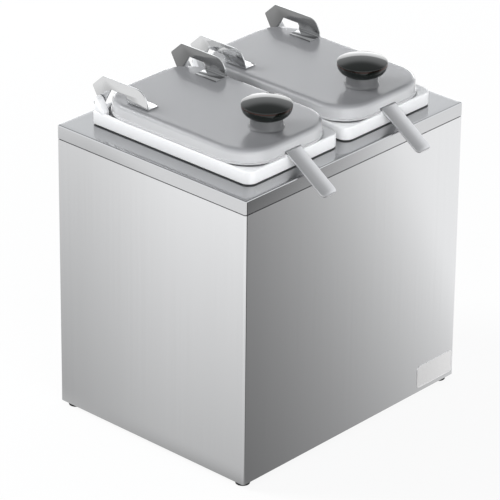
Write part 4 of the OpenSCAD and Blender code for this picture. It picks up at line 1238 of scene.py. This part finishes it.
@dataclass
class Carried:
    """The nodes whose shape is right as packed, each with its finish."""

    shop: Workshop

    def finishes(self) -> dict[str, Finish]:
        """Which finish each carried-over node takes.

        Returns:
            Node name to finish.
        """
        plan: dict[str, Finish] = {
            "outer_shell": WALL_STEEL, "top_cover": TOP_SHADED_COVER_STEEL, "water_well": WELL_STEEL,
            "insulation_wall": BOARD, "insulation_base": BOARD, "base_plate": PLAIN_STEEL,
            "base_screws": FASTENER_STEEL, "cover_screws": FASTENER_STEEL, "rubber_feet": RUBBER,
            "heating_element": SHEATH, "well_studs": FASTENER_STEEL, "clamp_bars": PLAIN_STEEL,
            "clamp_nuts": FASTENER_STEEL, "high_limit": CERAMIC, "thermostat_body": PLAIN_STEEL,
            "thermostat_nut": FASTENER_STEEL, "thermostat_shaft": BRASS,
            "thermostat_knob": CONTROL_BLACK, "sensing_bulb": COPPER, "power_inlet": CONTROL_BLACK,
            "inlet_blades": BRASS, "inlet_screws": FASTENER_STEEL, "terminal_block": CERAMIC,
            "wiring": WIRE_RED}
        for side in Side:
            word = side.word
            plan |= {f"jar_{word}": JAR_WHITE, f"lid_{word}": LIT_WALL_LID_GREY,
                     f"clip_outer_{word}": INNER_SHADED_CLIP_STEEL, f"clip_inner_{word}": INNER_SHADED_CLIP_STEEL,
                     f"hinge_pins_{word}": INNER_SHADED_CLIP_STEEL, f"clip_studs_{word}": FASTENER_STEEL,
                     f"push_nuts_{word}": FASTENER_STEEL, f"lid_knob_{word}": KNOB_BLACK,
                     f"knob_ring_{word}": COPPER_RING, f"knob_screw_{word}": FASTENER_STEEL,
                     f"ladle_handle_{word}": LADLE_STEEL, f"ladle_bowl_{word}": LADLE_STEEL}
        return plan

    def build(self) -> None:
        """Dresses every carried-over node."""
        plan = self.finishes()
        for node, finish in plan.items():
            self.shop.redress(node, finish)
        log.info("carried nodes dressed: %d", len(plan))

    def build_pointer(self) -> None:
        """A thin raised white line along the dial's pointer rib."""
        low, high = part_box("thermostat_knob")
        x = (low[0] + high[0]) / 2
        z1 = high[2] - 1.6 * MM
        z0 = z1 - 9.0 * MM
        r = 0.5 * MM
        outline = belt([(x - r, z0, r), (x + r, z0, r), (x + r, z1, r), (x - r, z1, r)], 5)
        face = high[1] - 1.0 * MM
        mark = plate(outline, face - 0.1 * MM, face + 0.12 * MM, 0.05 * MM, Lay.XZ).make("dial_line")
        self.shop.fit(mark, DIAL_MARK, "heat_dial")


# ---------------------------------------------------------------- stage


@dataclass(frozen=True)
class Lamp:
    """One rectangular soft light; the metal shows it only where it is mirrored."""

    name: str
    at: tuple[float, float, float]
    towards: tuple[float, float, float]
    size: tuple[float, float]
    watts: float
    mirrored: bool = False

    def hang(self) -> None:
        """Adds the light."""
        lamp = bpy.data.lights.new(self.name, "AREA")
        lamp.shape = "RECTANGLE"
        lamp.size, lamp.size_y = self.size
        lamp.energy = self.watts
        holder = bpy.data.objects.new(self.name, lamp)
        bpy.context.scene.collection.objects.link(holder)
        holder.location = self.at
        holder.visible_glossy = self.mirrored
        aim = Vector(self.towards) - Vector(self.at)
        holder.rotation_euler = aim.to_track_quat("-Z", "Y").to_euler()


LAMPS = (Lamp("back light", (1.2, 1.1, 0.45), (0.0, 0.0, 0.25), (2.0, 0.7), 8.0, mirrored=True),
         Lamp("high light", (-1.4, 2.5, 1.85), (0.0, 0.0, 0.1), (1.2, 1.2), 84.0),
         Lamp("front light", (-0.9, -1.9, 0.5), (0.0, 0.0, 0.2), (1.5, 0.7), 28.0))


@dataclass(frozen=True)
class PaintedFloorShade:
    """Painted shade on the floor as the metal mirrors it: dimmer close by, and dimmest before the near
    corner.

    With d the way out from the nearest wall, it is g (1 + growth d), at most brightest. Before the
    front g = exp(rate u - fall), at most front_most, with u = x + lean y + start. Beside the left
    wall g runs through side_levels over side_span, along v = y + side_lean x + side_start.
    """

    half_width: float = 0.125
    half_depth: float = 0.099
    growth: float = 2.2
    brightest: float = 1.05
    lean: float = 1.1
    start: float = 0.109
    rate: float = 5.35
    fall: float = 0.9755
    front_most: float = 0.9
    side_lean: float = 0.91
    side_start: float = 0.114
    side_span: tuple[float, float] = (-0.03, 0.14)
    side_levels: tuple[float, float] = (0.58, 0.44)
    beside_span: tuple[float, float] = (-0.150, -0.110)

    def build(self, graph: Graph) -> bpy.types.NodeSocket:
        """Adds the painted floor shade to a tree and hands out its socket."""
        where = graph.axes(graph.node("ShaderNodeTexCoord").outputs["Object"])
        x, y, maths = where["X"], where["Y"], graph.maths
        along = maths("MULTIPLY_ADD", y, self.lean, maths("ADD", x, self.start))
        rise = maths("MULTIPLY_ADD", along, self.rate, -self.fall)
        front = maths("MINIMUM", maths("EXPONENT", rise), self.front_most)
        back = maths("MULTIPLY_ADD", x, self.side_lean, maths("ADD", y, self.side_start))
        side = graph.ranged(back, *self.side_span, *self.side_levels, "SMOOTHSTEP")
        beside = graph.ranged(x, *self.beside_span, 1.0, 0.0, "SMOOTHSTEP")
        level = maths("MULTIPLY_ADD", beside, maths("SUBTRACT", side, front), front)
        out = maths("MAXIMUM", maths("SUBTRACT", maths("ABSOLUTE", x), self.half_width),
                    maths("SUBTRACT", maths("ABSOLUTE", y), self.half_depth))
        grown = maths("MULTIPLY_ADD", maths("MAXIMUM", out, 0.0), self.growth, 1.0)
        return maths("MINIMUM", maths("MULTIPLY", level, grown), self.brightest)


@dataclass(frozen=True)
class Surround:
    """The world: white where it is seen, even and pale as light, and dimmer overhead in the metal."""

    white: Colour = (1.0, 1.0, 1.0)
    lit: Colour = (0.96, 0.98, 1.0)
    lit_strength: float = 0.47
    mirrored: Colour = (0.97, 0.985, 1.0)
    ceiling_span: tuple[float, float] = (0.52, 0.72)
    ceiling_levels: tuple[float, float] = (1.2, 0.40)

    def build(self) -> None:
        """Makes the world's tree."""
        world = bpy.data.worlds.new("surround")
        bpy.context.scene.world = world
        world.use_nodes = True
        graph = Graph(world.node_tree)
        graph.tree.nodes.clear()
        rays = graph.node("ShaderNodeLightPath").outputs
        height = graph.axes(graph.node("ShaderNodeTexCoord").outputs["Generated"])["Z"]
        ceiling = graph.ranged(height, *self.ceiling_span, *self.ceiling_levels, "SMOOTHSTEP")
        kind = "ShaderNodeBackground"
        unseen = graph.mixed(rays["Is Glossy Ray"], graph.light(kind, self.lit, self.lit_strength),
                             graph.light(kind, self.mirrored, ceiling))
        seen = graph.maths("MAXIMUM", rays["Is Camera Ray"], rays["Is Transmission Ray"])
        shown = graph.mixed(seen, unseen, graph.light(kind, self.white, 1.0))
        graph.fill(graph.node("ShaderNodeOutputWorld"), {"Surface": shown})


@dataclass(frozen=True)
class Floor:
    """A plain pale floor that keeps the shadow: nearly white where it is seen, and painted with shade where
    the metal mirrors it.
    """

    reach: float = 4.0
    pale: Colour = (0.90, 0.905, 0.91)
    white: Colour = (1.0, 1.0, 1.0)
    white_share: float = 0.9

    def build(self) -> None:
        """Makes the floor and its material."""
        r = self.reach
        mesh = bpy.data.meshes.new("floor")
        mesh.from_pydata([(-r, -r, 0.0), (r, -r, 0.0), (r, r, 0.0), (-r, r, 0.0)], [], [(0, 1, 2, 3)])
        floor = bpy.data.objects.new("floor", mesh)
        bpy.context.scene.collection.objects.link(floor)
        material = bpy.data.materials.new("pale floor")
        material.use_nodes = True
        graph = Graph(material.node_tree)
        graph.tree.nodes.clear()
        rays = graph.node("ShaderNodeLightPath").outputs
        matt = graph.fill(graph.node("ShaderNodeBsdfDiffuse"), {"Color": (*self.pale, 1.0)}).outputs[0]
        share = graph.maths("MULTIPLY", rays["Is Camera Ray"], self.white_share)
        seen = graph.mixed(share, matt, graph.light("ShaderNodeEmission", self.white, 1.0))
        # Painted shade: in glossy rays the floor is an emission dimmed near the object, not its lit colour.
        painted_floor_shade = graph.light("ShaderNodeEmission", self.white, PaintedFloorShade().build(graph))
        shown = graph.mixed(rays["Is Glossy Ray"], seen, painted_floor_shade)
        graph.fill(graph.node("ShaderNodeOutputMaterial"), {"Surface": shown})
        mesh.materials.append(material)


@dataclass(frozen=True)
class PhotoCamera:
    """The camera of the photograph: angles in degrees, distances in widths of the cabinet."""

    front_y: float
    width: float = 0.25
    azimuth: float = -47.53
    elevation: float = 26.54
    roll: float = 0.58
    distance: float = 11.82
    across: float = 0.0269
    above: float = -0.4385
    foot: float = 4.0 * MM
    focal_pixels: float = 3669.0
    picture_pixels: float = 500.0
    sensor: float = 36.0
    reach: float = 20.0

    def build(self) -> None:
        """Places the camera, with no shift.

        Its back vector is (sin a cos e, -cos a cos e, sin e), and its place is d widths along it.
        """
        azimuth, elevation, roll = (math.radians(v) for v in (self.azimuth, self.elevation, self.roll))
        back = np.array([math.sin(azimuth) * math.cos(elevation), -math.cos(azimuth) * math.cos(elevation),
                         math.sin(elevation)])
        right = np.cross([0, 0, 1.0], back)
        right /= np.linalg.norm(right)
        up = np.cross(back, right)
        turned = math.cos(roll) * right + math.sin(roll) * up
        upward = -math.sin(roll) * right + math.cos(roll) * up
        spot = self.width * (self.distance * back - self.across * turned - self.above * upward)
        spot = spot + np.array([0.0, self.front_y, self.foot])
        data = bpy.data.cameras.new("camera")
        data.sensor_width = self.sensor
        data.lens = self.focal_pixels / self.picture_pixels * self.sensor
        data.clip_end = self.reach
        camera = bpy.data.objects.new("camera", data)
        bpy.context.scene.collection.objects.link(camera)
        turn = Matrix((turned, upward, back)).transposed().to_4x4()
        camera.matrix_world = Matrix.Translation(Vector(spot)) @ turn
        bpy.context.scene.camera = camera


def build_stage(middle_y: float) -> None:
    """Makes the surround, the floor, the lights and the camera."""
    Surround().build()
    Floor().build()
    for lamp in LAMPS:
        lamp.hang()
    PhotoCamera(middle_y).build()


def main() -> None:
    """Builds the camera and stage, then the cabinet, the two jar places and the rest."""
    logging.basicConfig(level=logging.INFO, format="%(message)s")
    bpy.context.scene.view_settings.view_transform = "Standard"
    shop = Workshop()
    cabinet = Cabinet(shop)
    build_stage(cabinet.middle_y)
    carried = Carried(shop)
    carried.build()
    cabinet.build()
    for side in Side:
        JarPlace(shop, side, cabinet.top).build()
    carried.build_pointer()


if __name__ == "__main__":
    main()
